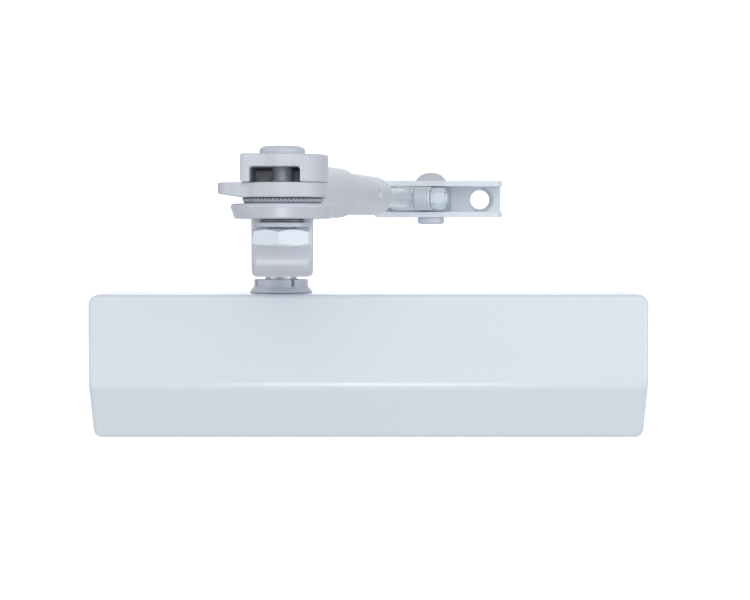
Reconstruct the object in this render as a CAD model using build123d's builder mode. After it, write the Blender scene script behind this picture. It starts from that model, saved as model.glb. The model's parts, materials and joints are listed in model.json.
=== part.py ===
from build123d import *
import os
from math import acos, cos, hypot, pi, radians, sin, tan

# Surface-mounted rack-and-pinion door closer with a hold-open folding arm.
# Millimetres. The origin is the centre of the four body screws on the door face.
# +X runs to the right along the door, -Y points away from the door, +Z is up.

# Driving dimensions
running = 0.05  # radial clearance of a turning or sliding fit
stand_off = 0.3  # gap between pieces that only lie close to each other

body_length = 216.0
barrel_r = 20.5
bore_r = 17.0
bore_y = -22.0
foot_width = 30.0
foot_height = 56.4
foot_depth = 12.0
mount_spacing_x = 165.0
mount_spacing_z = 47.0
mount_hole_r = 2.75

cover_length = 240.0
cover_height = 63.0
cover_depth = 46.0
cover_wall = 2.2
cover_corner_r = 4.2
cover_edge_r = 2.0
ridge_z = -7.7
lip_recess = 15.0

pinion_x = -38.5
boss_r = 17.0
boss_top = 28.0
boss_bottom = -24.0
cap_bore_r = 12.5
lower_bore_r = 8.0
pinion_teeth = 12
tooth_module = 1.6
pressure_angle = radians(25)
tooth_addendum = 1.45
tooth_dedendum = 1.9
backlash = 0.16
gear_half_face = 9.0
journal_r = 6.9
lower_journal_r = 5.45
square_size = 11.0
shaft_bottom = -22.6
shaft_shoulder = 39.5
shaft_top = 49.0
cap_inner_r = 10.0
bearing_bottom = 18.5
bearing_top = 26.0
lip_seal_bottom = 26.4
lip_seal_top = 32.6
screw_thread_r = 3.3
valve_slot = 0.8

piston_left = -93.0
piston_right = -12.0
piston_travel = 30.0
seat_x = 88.0
wire_r = 2.2
coil_r = 13.9
coil_turns = 8

valve_y = -5.0
valve_z = 15.0
valve_r = 2.95
valve_length = 18.0

arm_length = 190.3
arm_half_width = 10.7
arm_bottom = 42.6
arm_thickness = 7.5
elbow_x = -28.5
elbow_y = -212.0
knuckle_bottom = 62.7
knuckle_top = 67.8
knuckle_r = 17.5
stud_r = 5.0
shank_r = 3.5

forearm_z = 72.9
forearm_angle = radians(13.25)
forearm_reach = 196.5
head_r = 15.5
head_left = 13.4
head_block = 15.4
plate_r = 15.3
head_top = 84.3
plate_bottom = 69.85
plate_top = 74.85
rod_r = 4.0

eye_offset = 8.4
swivel_reach = 13.0
bracket_left = 2.6
bracket_right = 59.2
bracket_bottom = 64.7
bracket_top = 80.8
bracket_depth = 18.5
bracket_wall = 2.4
bracket_hole_r = 4.25
bracket_hole_spacing = 38.2
rivet_r = 3.2

# Derived places
half_body = body_length / 2
pitch_r = tooth_module * pinion_teeth / 2
tooth_pitch = pi * tooth_module
rack_line = bore_y + pitch_r
boss_centre = (pinion_x, bore_y)
ridge_slope = lip_recess / (cover_height / 2 + ridge_z)
arm_dir = Vector(elbow_x - pinion_x, elbow_y - bore_y, 0).normalized()
fore_dir = Vector(sin(forearm_angle), cos(forearm_angle), 0)
side_dir = Vector(cos(forearm_angle), -sin(forearm_angle), 0)
elbow = Vector(elbow_x, elbow_y, 0)
eye_point = elbow + fore_dir * forearm_reach + Vector(0, 0, forearm_z)
rivet_point = eye_point + side_dir * eye_offset + fore_dir * swivel_reach
bracket_middle = (bracket_left + bracket_right) / 2
bracket_mid_z = (bracket_bottom + bracket_top) / 2

up = Vector(0, 0, 1)
bore_section = Plane.XZ.offset(-bore_y)
bore_axis = Axis((0, bore_y, 0), (1, 0, 0))
pinion_section = Plane(origin=(pinion_x, bore_y, 0), x_dir=(1, 0, 0), z_dir=(0, -1, 0))
pinion_axis = Axis((pinion_x, bore_y, 0), (0, 0, 1))
elbow_section = Plane(origin=(elbow_x, elbow_y, 0), x_dir=(1, 0, 0), z_dir=(0, -1, 0))
elbow_axis = Axis((elbow_x, elbow_y, 0), (0, 0, 1))
arm_section = Plane(origin=(pinion_x, bore_y, 0), x_dir=arm_dir, z_dir=arm_dir.cross(up))
fore_section = Plane(origin=elbow + up * forearm_z, x_dir=fore_dir, z_dir=side_dir)
fore_axis = Axis(elbow + up * forearm_z, fore_dir)
eye_section = Plane(origin=eye_point, x_dir=side_dir, z_dir=fore_dir * -1)
eye_axis = Axis(eye_point, side_dir)
rivet_section = Plane(origin=(rivet_point.X, rivet_point.Y, 0), x_dir=(1, 0, 0), z_dir=(0, -1, 0))
rivet_axis = Axis((rivet_point.X, rivet_point.Y, 0), (0, 0, 1))

os.makedirs("parts", exist_ok=True)


def outline(plane, points):
    """Closed straight-sided outline on a plane, as a face."""
    with BuildSketch(plane) as shape:
        with BuildLine():
            Polyline(*points, close=True)
        make_face()
    return shape.sketch


def band(r_inner, r_outer, low, high):
    """Corners of a rectangular ring section: radius across, height up."""
    return [(r_inner, low), (r_outer, low), (r_outer, high), (r_inner, high)]


def sleeve(r_inner, r_outer, low, high):
    """Corners of a ring section that lies along the bore: distance across, radius up."""
    return [(low, r_inner), (high, r_inner), (high, r_outer), (low, r_outer)]


def lip_y(z, inset):
    """Y of the cover's slanted lower face at a height, moved inward by a distance."""
    return -cover_depth + (ridge_z - z) * ridge_slope + inset * hypot(1, ridge_slope)


def wedge(inset, low):
    """Outline in Y and Z of what lies outside the slanted lower face."""
    front = -cover_depth - 5
    top_z = ridge_z + (lip_y(ridge_z, inset) - front) / ridge_slope
    return [(front, low), (lip_y(low, inset), low), (front, top_z)]


# Housing: barrel, four screw lugs in two feet, and the upright boss for the pinion
with BuildPart() as housing:
    with BuildSketch(Plane.YZ.offset(-half_body)):
        with Locations((bore_y, 0)):
            Circle(barrel_r)
        with Locations((bore_y / 2, 0)):
            Rectangle(-bore_y, 2 * barrel_r)
    extrude(amount=body_length)
    with BuildSketch(Plane.XZ):
        with GridLocations(mount_spacing_x, 0, 2, 1):
            RectangleRounded(foot_width, foot_height, 4)
    extrude(amount=foot_depth)
    with BuildSketch(Plane.XY.offset(boss_bottom)):
        with Locations(boss_centre):
            Circle(boss_r)
        with Locations((pinion_x, bore_y / 2)):
            Rectangle(2 * boss_r, -bore_y)
    extrude(amount=boss_top - boss_bottom)
    with BuildSketch(Plane.YZ.offset(-half_body)):
        with BuildLine():
            Polyline(*wedge(cover_wall + 0.8, -cover_height / 2), close=True)
        make_face()
    extrude(amount=body_length, mode=Mode.SUBTRACT)
    with BuildSketch(Plane.YZ.offset(-half_body)):
        with Locations((bore_y, 0)):
            Circle(bore_r)
    extrude(amount=body_length, mode=Mode.SUBTRACT)
    with BuildSketch(Plane.XY):
        with Locations(boss_centre):
            Circle(cap_bore_r)
    extrude(amount=boss_top, mode=Mode.SUBTRACT)
    with BuildSketch(Plane.XY):
        with Locations(boss_centre):
            Circle(lower_bore_r)
    extrude(amount=boss_bottom, mode=Mode.SUBTRACT)
    with BuildSketch(Plane.XZ):
        with GridLocations(mount_spacing_x, mount_spacing_z, 2, 2):
            Circle(mount_hole_r)
    extrude(amount=foot_depth, mode=Mode.SUBTRACT)
    with BuildSketch(Plane.YZ.offset(-half_body)):
        with Locations((valve_y, valve_z), (valve_y, -valve_z)):
            Circle(valve_r + running)
    extrude(amount=valve_length + 6, mode=Mode.SUBTRACT)
housing.part.label = "housing"
export_step(housing.part, "parts/housing.step")

# End caps screwed into the barrel, each with a seal groove
cap_face = half_body + 4
cap_inner = half_body - 11
groove_near = half_body - 7.6
groove_far = half_body - 4.8
groove_r = 14.9
recess_r = 12.0
recess_floor = half_body - 4
plug_r = bore_r - running


def cap_outline(side, hole_r):
    """Half section of an end cap on one side, -1 for left and 1 for right."""
    points = [
        (cap_face, hole_r),
        (cap_face, barrel_r - 1),
        (half_body, barrel_r - 1),
        (half_body, plug_r),
        (groove_far, plug_r),
        (groove_far, groove_r),
        (groove_near, groove_r),
        (groove_near, plug_r),
        (cap_inner, plug_r),
        (cap_inner, recess_r),
        (recess_floor, recess_r),
        (recess_floor, hole_r),
    ]
    return [(side * x, r) for x, r in points]


filler_r = 3.0
with BuildPart() as end_cap_left:
    revolve(outline(bore_section, cap_outline(-1, filler_r + running)), axis=bore_axis)
    with BuildSketch(Plane.YZ.offset(-cap_face)):
        with Locations((bore_y, 12.5), (bore_y, -12.5)):
            Circle(1.6)
    extrude(amount=3, mode=Mode.SUBTRACT)
end_cap_left.part.label = "end_cap_left"
export_step(end_cap_left.part, "parts/end_cap_left.step")

adjuster_r = 4.95
with BuildPart() as end_cap_right:
    revolve(outline(bore_section, cap_outline(1, adjuster_r + 2 * running)), axis=bore_axis)
    with BuildSketch(Plane.YZ.offset(cap_face - 3)):
        with Locations((bore_y, 12.5), (bore_y, -12.5)):
            Circle(1.6)
    extrude(amount=3, mode=Mode.SUBTRACT)
end_cap_right.part.label = "end_cap_right"
export_step(end_cap_right.part, "parts/end_cap_right.step")

with BuildPart() as end_cap_seals:
    with BuildSketch(bore_section):
        with GridLocations(groove_near + groove_far, 0, 2, 1):
            with Locations((0, groove_r + 1.03)):
                Circle(1.0)
    revolve(axis=bore_axis)
end_cap_seals.part.label = "end_cap_seals"
export_step(end_cap_seals.part, "parts/end_cap_seals.step")

with BuildPart() as filler_plug:
    with BuildSketch(Plane.YZ.offset(-cap_face)):
        with Locations((bore_y, 0)):
            Circle(filler_r)
    extrude(amount=cap_face - recess_floor)
    with BuildSketch(Plane.YZ.offset(-cap_face)):
        with Locations((bore_y, 0)):
            RegularPolygon(1.5, 6, major_radius=False)
    extrude(amount=3.5, mode=Mode.SUBTRACT)
filler_plug.part.label = "filler_plug"
export_step(filler_plug.part, "parts/filler_plug.step")


# Pinion: involute gear on a stepped shaft with a square end for the arm
def flank_angle(radius):
    """Half the angle of a tooth at a radius."""
    base_r = pitch_r * cos(pressure_angle)
    local = acos(min(1.0, base_r / radius))
    thickness = tooth_pitch / 2 - backlash / 2
    return thickness / (2 * pitch_r) + tan(pressure_angle) - pressure_angle - tan(local) + local


def polar(radius, angle):
    """Point at a radius and an angle in radians."""
    return (radius * cos(angle), radius * sin(angle))


tip_r = pitch_r + tooth_addendum
root_r = pitch_r - tooth_dedendum
base_r = pitch_r * cos(pressure_angle)
tooth_step = 2 * pi / pinion_teeth
flank_radii = [base_r + (tip_r - base_r) * i / 3 for i in range(4)]

with BuildPart() as pinion_shaft:
    with BuildSketch(Plane(origin=(pinion_x, bore_y, -gear_half_face))):
        with BuildLine():
            for tooth in range(pinion_teeth):
                mid = pi / 2 + tooth * tooth_step
                rising = [polar(r, mid - flank_angle(r)) for r in flank_radii]
                falling = [polar(r, mid + flank_angle(r)) for r in reversed(flank_radii)]
                root_in = polar(root_r, mid - flank_angle(base_r))
                root_out = polar(root_r, mid + flank_angle(base_r))
                next_root = polar(root_r, mid + tooth_step - flank_angle(base_r))
                Line(root_in, rising[0])
                Spline(*rising)
                ThreePointArc(rising[-1], polar(tip_r, mid), falling[0])
                Spline(*falling)
                Line(falling[-1], root_out)
                ThreePointArc(root_out, polar(root_r, mid + tooth_step / 2), next_root)
        make_face()
    extrude(amount=2 * gear_half_face)
    shaft_steps = [
        (0, shaft_bottom),
        (lower_journal_r, shaft_bottom),
        (lower_journal_r, -gear_half_face),
        (journal_r, -gear_half_face),
        (journal_r, shaft_shoulder),
        (0, shaft_shoulder),
    ]
    revolve(outline(pinion_section, shaft_steps), axis=pinion_axis)
    with BuildSketch(Plane(origin=(pinion_x, bore_y, shaft_shoulder), x_dir=arm_dir, z_dir=up)):
        Rectangle(square_size, square_size)
        Circle(journal_r, mode=Mode.INTERSECT)
    extrude(amount=shaft_top - shaft_shoulder)
    with BuildSketch(Plane.XY.offset(shaft_top)):
        with Locations(boss_centre):
            Circle(screw_thread_r + running)
    extrude(amount=-20, mode=Mode.SUBTRACT)
pinion_shaft.part.label = "pinion_shaft"
export_step(pinion_shaft.part, "parts/pinion_shaft.step")

# Bearings, seals and caps of the pinion
with BuildPart() as upper_bearing:
    ring = band(journal_r + running, cap_inner_r - running, bearing_bottom, bearing_top)
    revolve(outline(pinion_section, ring), axis=pinion_axis)
upper_bearing.part.label = "upper_bearing"
export_step(upper_bearing.part, "parts/upper_bearing.step")

with BuildPart() as lower_bearing:
    ring = band(lower_journal_r + running, lower_bore_r - running, -21, -17.3)
    revolve(outline(pinion_section, ring), axis=pinion_axis)
lower_bearing.part.label = "lower_bearing"
export_step(lower_bearing.part, "parts/lower_bearing.step")

with BuildPart() as upper_shaft_seal:
    ring = band(journal_r + running, cap_inner_r - running, lip_seal_bottom, lip_seal_top)
    revolve(outline(pinion_section, ring), axis=pinion_axis)
    with BuildSketch(pinion_section):
        with Locations((journal_r + 1.6, lip_seal_bottom)):
            Rectangle(1.2, 6)
    revolve(axis=pinion_axis, mode=Mode.SUBTRACT)
upper_shaft_seal.part.label = "upper_shaft_seal"
export_step(upper_shaft_seal.part, "parts/upper_shaft_seal.step")

with BuildPart() as lower_shaft_seal:
    ring = band(lower_journal_r + running, lower_bore_r - running, -22.7, -21.2)
    revolve(outline(pinion_section, ring), axis=pinion_axis)
lower_shaft_seal.part.label = "lower_shaft_seal"
export_step(lower_shaft_seal.part, "parts/lower_shaft_seal.step")

collar_r = 11.85
collar_bore_r = 7.4
collar_foot = 34.0
collar_top = 37.5
flange_r = 13.6
flange_z = cover_height / 2 + 0.15
with BuildPart() as pinion_cap:
    collar_section = [
        (cap_inner_r, bearing_bottom),
        (cap_bore_r - running, bearing_bottom),
        (cap_bore_r - running, flange_z),
        (flange_r, flange_z),
        (flange_r, flange_z + 0.6),
        (flange_r - 1.3, collar_foot),
        (collar_r, collar_foot),
        (collar_r, collar_top - 0.5),
        (collar_r - 0.5, collar_top),
        (collar_bore_r, collar_top),
        (collar_bore_r, lip_seal_top + 0.4),
        (cap_inner_r, lip_seal_top + 0.4),
    ]
    revolve(outline(pinion_section, collar_section), axis=pinion_axis)
    with BuildSketch(Plane.XY.offset(collar_top)):
        with Locations(boss_centre):
            with PolarLocations(collar_r, 4, start_angle=-62):
                Rectangle(3.0, 1.1)
    extrude(amount=-3, mode=Mode.SUBTRACT)
pinion_cap.part.label = "pinion_cap"
export_step(pinion_cap.part, "parts/pinion_cap.step")

with BuildPart() as lower_cap:
    with BuildSketch(Plane.XY.offset(boss_bottom)):
        with Locations(boss_centre):
            Circle(lower_bore_r - running)
    extrude(amount=1.0)
    with BuildSketch(Plane.XY.offset(boss_bottom)):
        with Locations(boss_centre):
            RegularPolygon(3, 6, major_radius=False)
    extrude(amount=0.6, mode=Mode.SUBTRACT)
lower_cap.part.label = "lower_cap"
export_step(lower_cap.part, "parts/lower_cap.step")

# Rack piston: slotted round the pinion, teeth on the side next to the door
slot_right = pinion_x + tip_r + 0.5
slot_left = pinion_x - piston_travel - tip_r - 0.5
slot_front = bore_y - tip_r - 0.4
tooth_tip_y = rack_line - tooth_addendum
tooth_root_y = rack_line + tooth_dedendum
space_half = tooth_pitch / 4 + backlash / 4
tip_half = space_half + tooth_addendum * tan(pressure_angle)
root_half = space_half - tooth_dedendum * tan(pressure_angle)
check_r = 2.8

with BuildPart() as rack_piston:
    with BuildSketch(Plane.YZ.offset(piston_left)):
        with Locations((bore_y, 0)):
            Circle(bore_r - running)
    extrude(amount=piston_right - piston_left)
    chamfer(rack_piston.edges().filter_by(GeomType.CIRCLE), 0.8)
    with BuildSketch(Plane.XY.offset(-bore_r)):
        with Locations(((slot_left + slot_right) / 2, (slot_front + tooth_tip_y) / 2)):
            Rectangle(slot_right - slot_left, tooth_tip_y - slot_front)
        for space in range(-1, 8):
            middle = pinion_x - space * tooth_pitch
            with BuildLine():
                Polyline(
                    (middle - tip_half, tooth_tip_y - 0.1),
                    (middle - tip_half, tooth_tip_y),
                    (middle - root_half, tooth_root_y),
                    (middle + root_half, tooth_root_y),
                    (middle + tip_half, tooth_tip_y),
                    (middle + tip_half, tooth_tip_y - 0.1),
                    close=True,
                )
            make_face()
    extrude(amount=2 * bore_r, mode=Mode.SUBTRACT)
    with BuildSketch(Plane.YZ.offset(piston_left)):
        with Locations((bore_y, 0)):
            Circle(9)
    extrude(amount=7, mode=Mode.SUBTRACT)
    with BuildSketch(Plane.YZ.offset(piston_right)):
        with Locations((bore_y, 0)):
            Circle(check_r)
    extrude(amount=-9, mode=Mode.SUBTRACT)
    with BuildSketch(Plane.YZ.offset(piston_right)):
        with Locations((bore_y, 0)):
            Circle(1.5)
    extrude(amount=-16, mode=Mode.SUBTRACT)
rack_piston.part.label = "rack_piston"
export_step(rack_piston.part, "parts/rack_piston.step")

with BuildPart() as check_valve_ball:
    with Locations((piston_right - 6.3, bore_y, 0)):
        Sphere(2.5)
check_valve_ball.part.label = "check_valve_ball"
export_step(check_valve_ball.part, "parts/check_valve_ball.step")

with BuildPart() as check_valve_retainer:
    ring = sleeve(1.2, check_r - running, piston_right - 2, piston_right - 0.2)
    revolve(outline(bore_section, ring), axis=bore_axis)
check_valve_retainer.part.label = "check_valve_retainer"
export_step(check_valve_retainer.part, "parts/check_valve_retainer.step")

# Closing spring between the piston and its seat
spring_start = piston_right + wire_r + 0.15
spring_height = seat_x - wire_r - 0.15 - spring_start
coil = Helix(
    pitch=spring_height / coil_turns,
    height=spring_height,
    radius=coil_r,
    center=(spring_start, bore_y, 0),
    direction=(1, 0, 0),
)
with BuildPart() as closing_spring:
    with BuildSketch(Plane(origin=coil @ 0, z_dir=coil % 0)):
        Circle(wire_r)
    sweep(path=coil)
closing_spring.part.label = "closing_spring"
export_step(closing_spring.part, "parts/closing_spring.step")

with BuildPart() as spring_seat:
    seat_section = [
        (seat_x - 8, adjuster_r + running),
        (seat_x - 8, coil_r - wire_r - 1),
        (seat_x, coil_r - wire_r - 0.6),
        (seat_x, bore_r - 0.4),
        (seat_x + 4, bore_r - 0.4),
        (seat_x + 4, adjuster_r + running),
    ]
    revolve(outline(bore_section, seat_section), axis=bore_axis)
spring_seat.part.label = "spring_seat"
export_step(spring_seat.part, "parts/spring_seat.step")

# Power adjusting screw, held in the right cap between a thrust washer and a circlip
screw_collar_r = 7.5
with BuildPart() as power_adjusting_screw:
    screw_section = [
        (62, 0),
        (62, adjuster_r - 1),
        (63, adjuster_r),
        (half_body - 8, adjuster_r),
        (half_body - 8, screw_collar_r),
        (half_body - 5.1, screw_collar_r),
        (half_body - 5.1, adjuster_r),
        (cap_face, adjuster_r),
        (cap_face, 0),
    ]
    revolve(outline(bore_section, screw_section), axis=bore_axis)
    with BuildSketch(Plane.YZ.offset(cap_face)):
        with Locations((bore_y, 0)):
            RegularPolygon(3, 6, major_radius=False)
    extrude(amount=-6, mode=Mode.SUBTRACT)
power_adjusting_screw.part.label = "power_adjusting_screw"
export_step(power_adjusting_screw.part, "parts/power_adjusting_screw.step")

with BuildPart() as thrust_washer:
    ring = sleeve(adjuster_r + running, recess_r - stand_off, half_body - 5.05, recess_floor - 0.05)
    revolve(outline(bore_section, ring), axis=bore_axis)
thrust_washer.part.label = "thrust_washer"
export_step(thrust_washer.part, "parts/thrust_washer.step")

with BuildPart() as adjuster_circlip:
    ring = sleeve(6, recess_r - running, half_body - 9.4, half_body - 8.1)
    revolve(outline(bore_section, ring), axis=bore_axis)
    with BuildSketch(Plane.YZ.offset(half_body - 10)):
        with Locations((bore_y, -9)):
            Rectangle(5, 8)
    extrude(amount=4, mode=Mode.SUBTRACT)
adjuster_circlip.part.label = "adjuster_circlip"
export_step(adjuster_circlip.part, "parts/adjuster_circlip.step")


# Speed valves in the left end of the housing
def valve_outline():
    """Half section of a speed valve: distance from its outer end, then radius."""
    return [
        (0, 0),
        (0, valve_r),
        (5, valve_r),
        (5, 2.0),
        (7, 2.0),
        (7, valve_r),
        (valve_length - 4, valve_r),
        (valve_length, 0.8),
        (valve_length, 0),
    ]


def valve_plane(height):
    """Plane through a valve's axis, starting at the housing's left face."""
    return Plane(origin=(-half_body, valve_y, height), x_dir=(1, 0, 0), z_dir=(0, -1, 0))


def valve_axis(height):
    """Axis of the valve at a height."""
    return Axis((-half_body, valve_y, height), (1, 0, 0))


with BuildPart() as closing_speed_valve:
    revolve(outline(valve_plane(valve_z), valve_outline()), axis=valve_axis(valve_z))
    with BuildSketch(Plane.YZ.offset(-half_body)):
        with Locations((valve_y, valve_z)):
            Rectangle(valve_slot, 2 * valve_r)
    extrude(amount=1.4, mode=Mode.SUBTRACT)
closing_speed_valve.part.label = "closing_speed_valve"
export_step(closing_speed_valve.part, "parts/closing_speed_valve.step")

with BuildPart() as latching_speed_valve:
    revolve(outline(valve_plane(-valve_z), valve_outline()), axis=valve_axis(-valve_z))
    with BuildSketch(Plane.YZ.offset(-half_body)):
        with Locations((valve_y, -valve_z)):
            Rectangle(valve_slot, 2 * valve_r)
    extrude(amount=1.4, mode=Mode.SUBTRACT)
latching_speed_valve.part.label = "latching_speed_valve"
export_step(latching_speed_valve.part, "parts/latching_speed_valve.step")

with BuildPart() as closing_valve_seal:
    with BuildSketch(valve_plane(valve_z)):
        with Locations((6, 2.48)):
            Circle(0.42)
    revolve(axis=valve_axis(valve_z))
closing_valve_seal.part.label = "closing_valve_seal"
export_step(closing_valve_seal.part, "parts/closing_valve_seal.step")

with BuildPart() as latching_valve_seal:
    with BuildSketch(valve_plane(-valve_z)):
        with Locations((6, 2.48)):
            Circle(0.42)
    revolve(axis=valve_axis(-valve_z))
latching_valve_seal.part.label = "latching_valve_seal"
export_step(latching_valve_seal.part, "parts/latching_valve_seal.step")

# Cover: a shell open towards the door, with a slanted lower face and a notch round the pinion
inner_front = cover_wall - cover_depth
inner_bottom = cover_wall - cover_height / 2
inner_ridge_z = ridge_z + cover_wall * (hypot(1, ridge_slope) - 1) / ridge_slope
with BuildPart() as cover:
    with BuildSketch(Plane.XZ):
        RectangleRounded(cover_length, cover_height, cover_corner_r)
    extrude(amount=cover_depth)
    with BuildSketch(Plane.YZ.offset(-cover_length / 2)):
        with BuildLine():
            Polyline(*wedge(0, -cover_height / 2 - 5), close=True)
        make_face()
    extrude(amount=cover_length, mode=Mode.SUBTRACT)
    ridge = cover.edges().filter_by(Axis.X).sort_by(Axis.Y)[0:2].sort_by(Axis.Z)[0]
    fillet(ridge, 3.5)
    fillet(cover.edges().filter_by(lambda e: e.center().Y < -5 and e.length > 2.5), cover_edge_r)
    with BuildSketch(Plane.YZ.offset(cover_wall - cover_length / 2)):
        with BuildLine():
            Polyline(
                (1, inner_bottom),
                (lip_y(inner_bottom, cover_wall), inner_bottom),
                (inner_front, inner_ridge_z),
                (inner_front, -inner_bottom),
                (1, -inner_bottom),
                close=True,
            )
        make_face()
    extrude(amount=cover_length - 2 * cover_wall, mode=Mode.SUBTRACT)
    with BuildSketch(Plane.XY.offset(cover_height / 2 + 1)):
        with Locations(boss_centre):
            Circle(cap_bore_r + stand_off)
        with Locations((pinion_x, bore_y / 2 + 1)):
            Rectangle(2 * (cap_bore_r + stand_off), 2 - bore_y)
    extrude(amount=-cover_wall - 2, mode=Mode.SUBTRACT)
cover.part.label = "cover"
export_step(cover.part, "parts/cover.step")

# Spring clips on the barrel that hold the cover from inside
with BuildPart() as cover_clips:
    with GridLocations(2 * (half_body - 5), 0, 2, 1):
        with Locations((0, -9, barrel_r + 0.45)):
            Box(8, 14, 0.8)
        with Locations((0, -2.4, (barrel_r + 0.1 + 28.6) / 2)):
            Box(8, 0.8, 28.6 - barrel_r - 0.1)
        with Locations((0, -5.5, 28.2)):
            Box(8, 7, 0.8)
cover_clips.part.label = "cover_clips"
export_step(cover_clips.part, "parts/cover_clips.step")

# Main arm: a flat bar that steps up to the knuckle at the elbow
step_front = arm_length - 11.0
step_back = step_front - arm_thickness
arm_boss_r = 13.0
bend_r = 3.0
low_bend_r = 8.0
with BuildPart() as main_arm:
    with BuildSketch(arm_section):
        with BuildLine():
            Polyline(
                (0, arm_bottom),
                (step_front - 3, arm_bottom),
                (step_front, knuckle_bottom),
                (arm_length, knuckle_bottom),
                (arm_length, knuckle_top),
                (step_back, knuckle_top),
                (step_back - 3, arm_bottom + arm_thickness),
                (0, arm_bottom + arm_thickness),
                close=True,
            )
        make_face()
    extrude(amount=arm_half_width, both=True)
    bends = main_arm.edges().filter_by(lambda e: abs(e.tangent_at(0).dot(arm_section.z_dir)) > 0.99)
    middle_bends = bends.filter_by(lambda e: 150 < (e.center() - arm_section.origin).dot(arm_dir) < 189)
    low_front = middle_bends.sort_by(Axis.Z)[0]
    fillet(low_front, low_bend_r)
    others = main_arm.edges().filter_by(lambda e: abs(e.tangent_at(0).dot(arm_section.z_dir)) > 0.99)
    inside = others.filter_by(lambda e: (e.center() - arm_section.origin).dot(arm_dir) > 165)
    fillet(inside.filter_by(lambda e: abs(e.center().Z - arm_bottom - arm_thickness) < 0.1), bend_r)
    upper = main_arm.edges().filter_by(lambda e: abs(e.tangent_at(0).dot(arm_section.z_dir)) > 0.99)
    back_top = upper.filter_by(lambda e: abs(e.center().Z - knuckle_top) < 0.1)
    fillet(back_top.filter_by(lambda e: (e.center() - arm_section.origin).dot(arm_dir) < 185), bend_r)
    with BuildSketch(Plane.XY.offset(arm_bottom - 1.6)):
        with Locations(boss_centre):
            Circle(arm_boss_r)
    extrude(amount=arm_thickness + 2.4)
    knuckle = [(0, knuckle_bottom), (16.0, knuckle_bottom), (knuckle_r, knuckle_top - 0.8)]
    knuckle += [(knuckle_r - 0.8, knuckle_top), (0, knuckle_top)]
    revolve(outline(elbow_section, knuckle), axis=elbow_axis)
    with BuildSketch(Plane(origin=(elbow_x, elbow_y, knuckle_bottom))):
        Circle(stud_r + running)
    extrude(amount=knuckle_top - knuckle_bottom, mode=Mode.SUBTRACT)
    with BuildSketch(Plane(origin=(pinion_x, bore_y, arm_bottom - 2), x_dir=arm_dir, z_dir=up)):
        Rectangle(square_size + 2 * running, square_size + 2 * running)
        Circle(journal_r + running, mode=Mode.INTERSECT)
    extrude(amount=arm_thickness + 4, mode=Mode.SUBTRACT)
main_arm.part.label = "main_arm"
export_step(main_arm.part, "parts/main_arm.step")

boss_face = arm_bottom + arm_thickness + 0.8
with BuildPart() as arm_washer:
    revolve(outline(pinion_section, band(3.5, 9.5, boss_face + 0.05, boss_face + 1.4)), axis=pinion_axis)
arm_washer.part.label = "arm_washer"
export_step(arm_washer.part, "parts/arm_washer.step")

screw_seat = boss_face + 1.45
screw_end = 31.0
screw_head = 4.0
screw_head_r = 6.8
with BuildPart() as arm_screw:
    screw_section = [
        (0, screw_end),
        (screw_thread_r, screw_end),
        (screw_thread_r, screw_seat),
        (screw_head_r, screw_seat),
        (screw_head_r, screw_seat + screw_head - 1),
        (screw_head_r - 1, screw_seat + screw_head),
        (0, screw_seat + screw_head),
    ]
    revolve(outline(pinion_section, screw_section), axis=pinion_axis)
    with BuildSketch(Plane.XY.offset(screw_seat + screw_head)):
        with Locations(boss_centre):
            RegularPolygon(2.5, 6, major_radius=False)
    extrude(amount=-2.6, mode=Mode.SUBTRACT)
arm_screw.part.label = "arm_screw"
export_step(arm_screw.part, "parts/arm_screw.step")

# Elbow: stepped stud with a flat domed head, clamped to the main arm by a nut from below
nut_bottom = 53.5
nut_top = 59.3
stud_head_z = head_top + 0.05
stud_head = 2.9
stud_head_r = 7.75
with BuildPart() as elbow_stud:
    stud_section = [
        (0, nut_bottom + 0.1),
        (stud_r - 0.6, nut_bottom + 0.1),
        (stud_r, nut_bottom + 0.7),
        (stud_r, plate_top),
        (shank_r + 0.4, plate_top + 0.05),
        (shank_r, plate_top + 0.9),
        (shank_r, stud_head_z),
        (stud_head_r, stud_head_z),
        (stud_head_r, stud_head_z + 1.5),
        (6.2, stud_head_z + stud_head),
        (0, stud_head_z + stud_head),
    ]
    revolve(outline(elbow_section, stud_section), axis=elbow_axis)
elbow_stud.part.label = "elbow_stud"
export_step(elbow_stud.part, "parts/elbow_stud.step")

nut_flat = 9.5
nut_corner = nut_flat / cos(pi / 6)
with BuildPart() as elbow_nut:
    with BuildSketch(Plane(origin=(elbow_x, elbow_y, nut_bottom))):
        RegularPolygon(nut_flat, 6, major_radius=False, rotation=-95)
        Circle(stud_r + running, mode=Mode.SUBTRACT)
    extrude(amount=nut_top - nut_bottom)
    rounding = [
        (0, nut_bottom),
        (nut_flat - 0.3, nut_bottom),
        (nut_corner, nut_bottom + 0.9),
        (nut_corner, nut_top - 0.9),
        (nut_flat - 0.3, nut_top),
        (0, nut_top),
    ]
    revolve(outline(elbow_section, rounding), axis=elbow_axis, mode=Mode.INTERSECT)
elbow_nut.part.label = "elbow_nut"
export_step(elbow_nut.part, "parts/elbow_nut.step")

flat_washer = (59.9, 61.5)
spring_washer = (61.55, 62.65)
with BuildPart() as elbow_washer:
    revolve(outline(elbow_section, band(stud_r + running, 8.9, *flat_washer)), axis=elbow_axis)
elbow_washer.part.label = "elbow_washer"
export_step(elbow_washer.part, "parts/elbow_washer.step")

with BuildPart() as elbow_spring_washer:
    revolve(outline(elbow_section, band(stud_r + running, 7.6, *spring_washer)), axis=elbow_axis)
    with BuildSketch(Plane(origin=(elbow_x, elbow_y, spring_washer[0] - 0.5))):
        with Locations((6, 0)):
            Rectangle(5, 0.8)
    extrude(amount=2, mode=Mode.SUBTRACT)
elbow_spring_washer.part.label = "elbow_spring_washer"
export_step(elbow_spring_washer.part, "parts/elbow_spring_washer.step")

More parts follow.
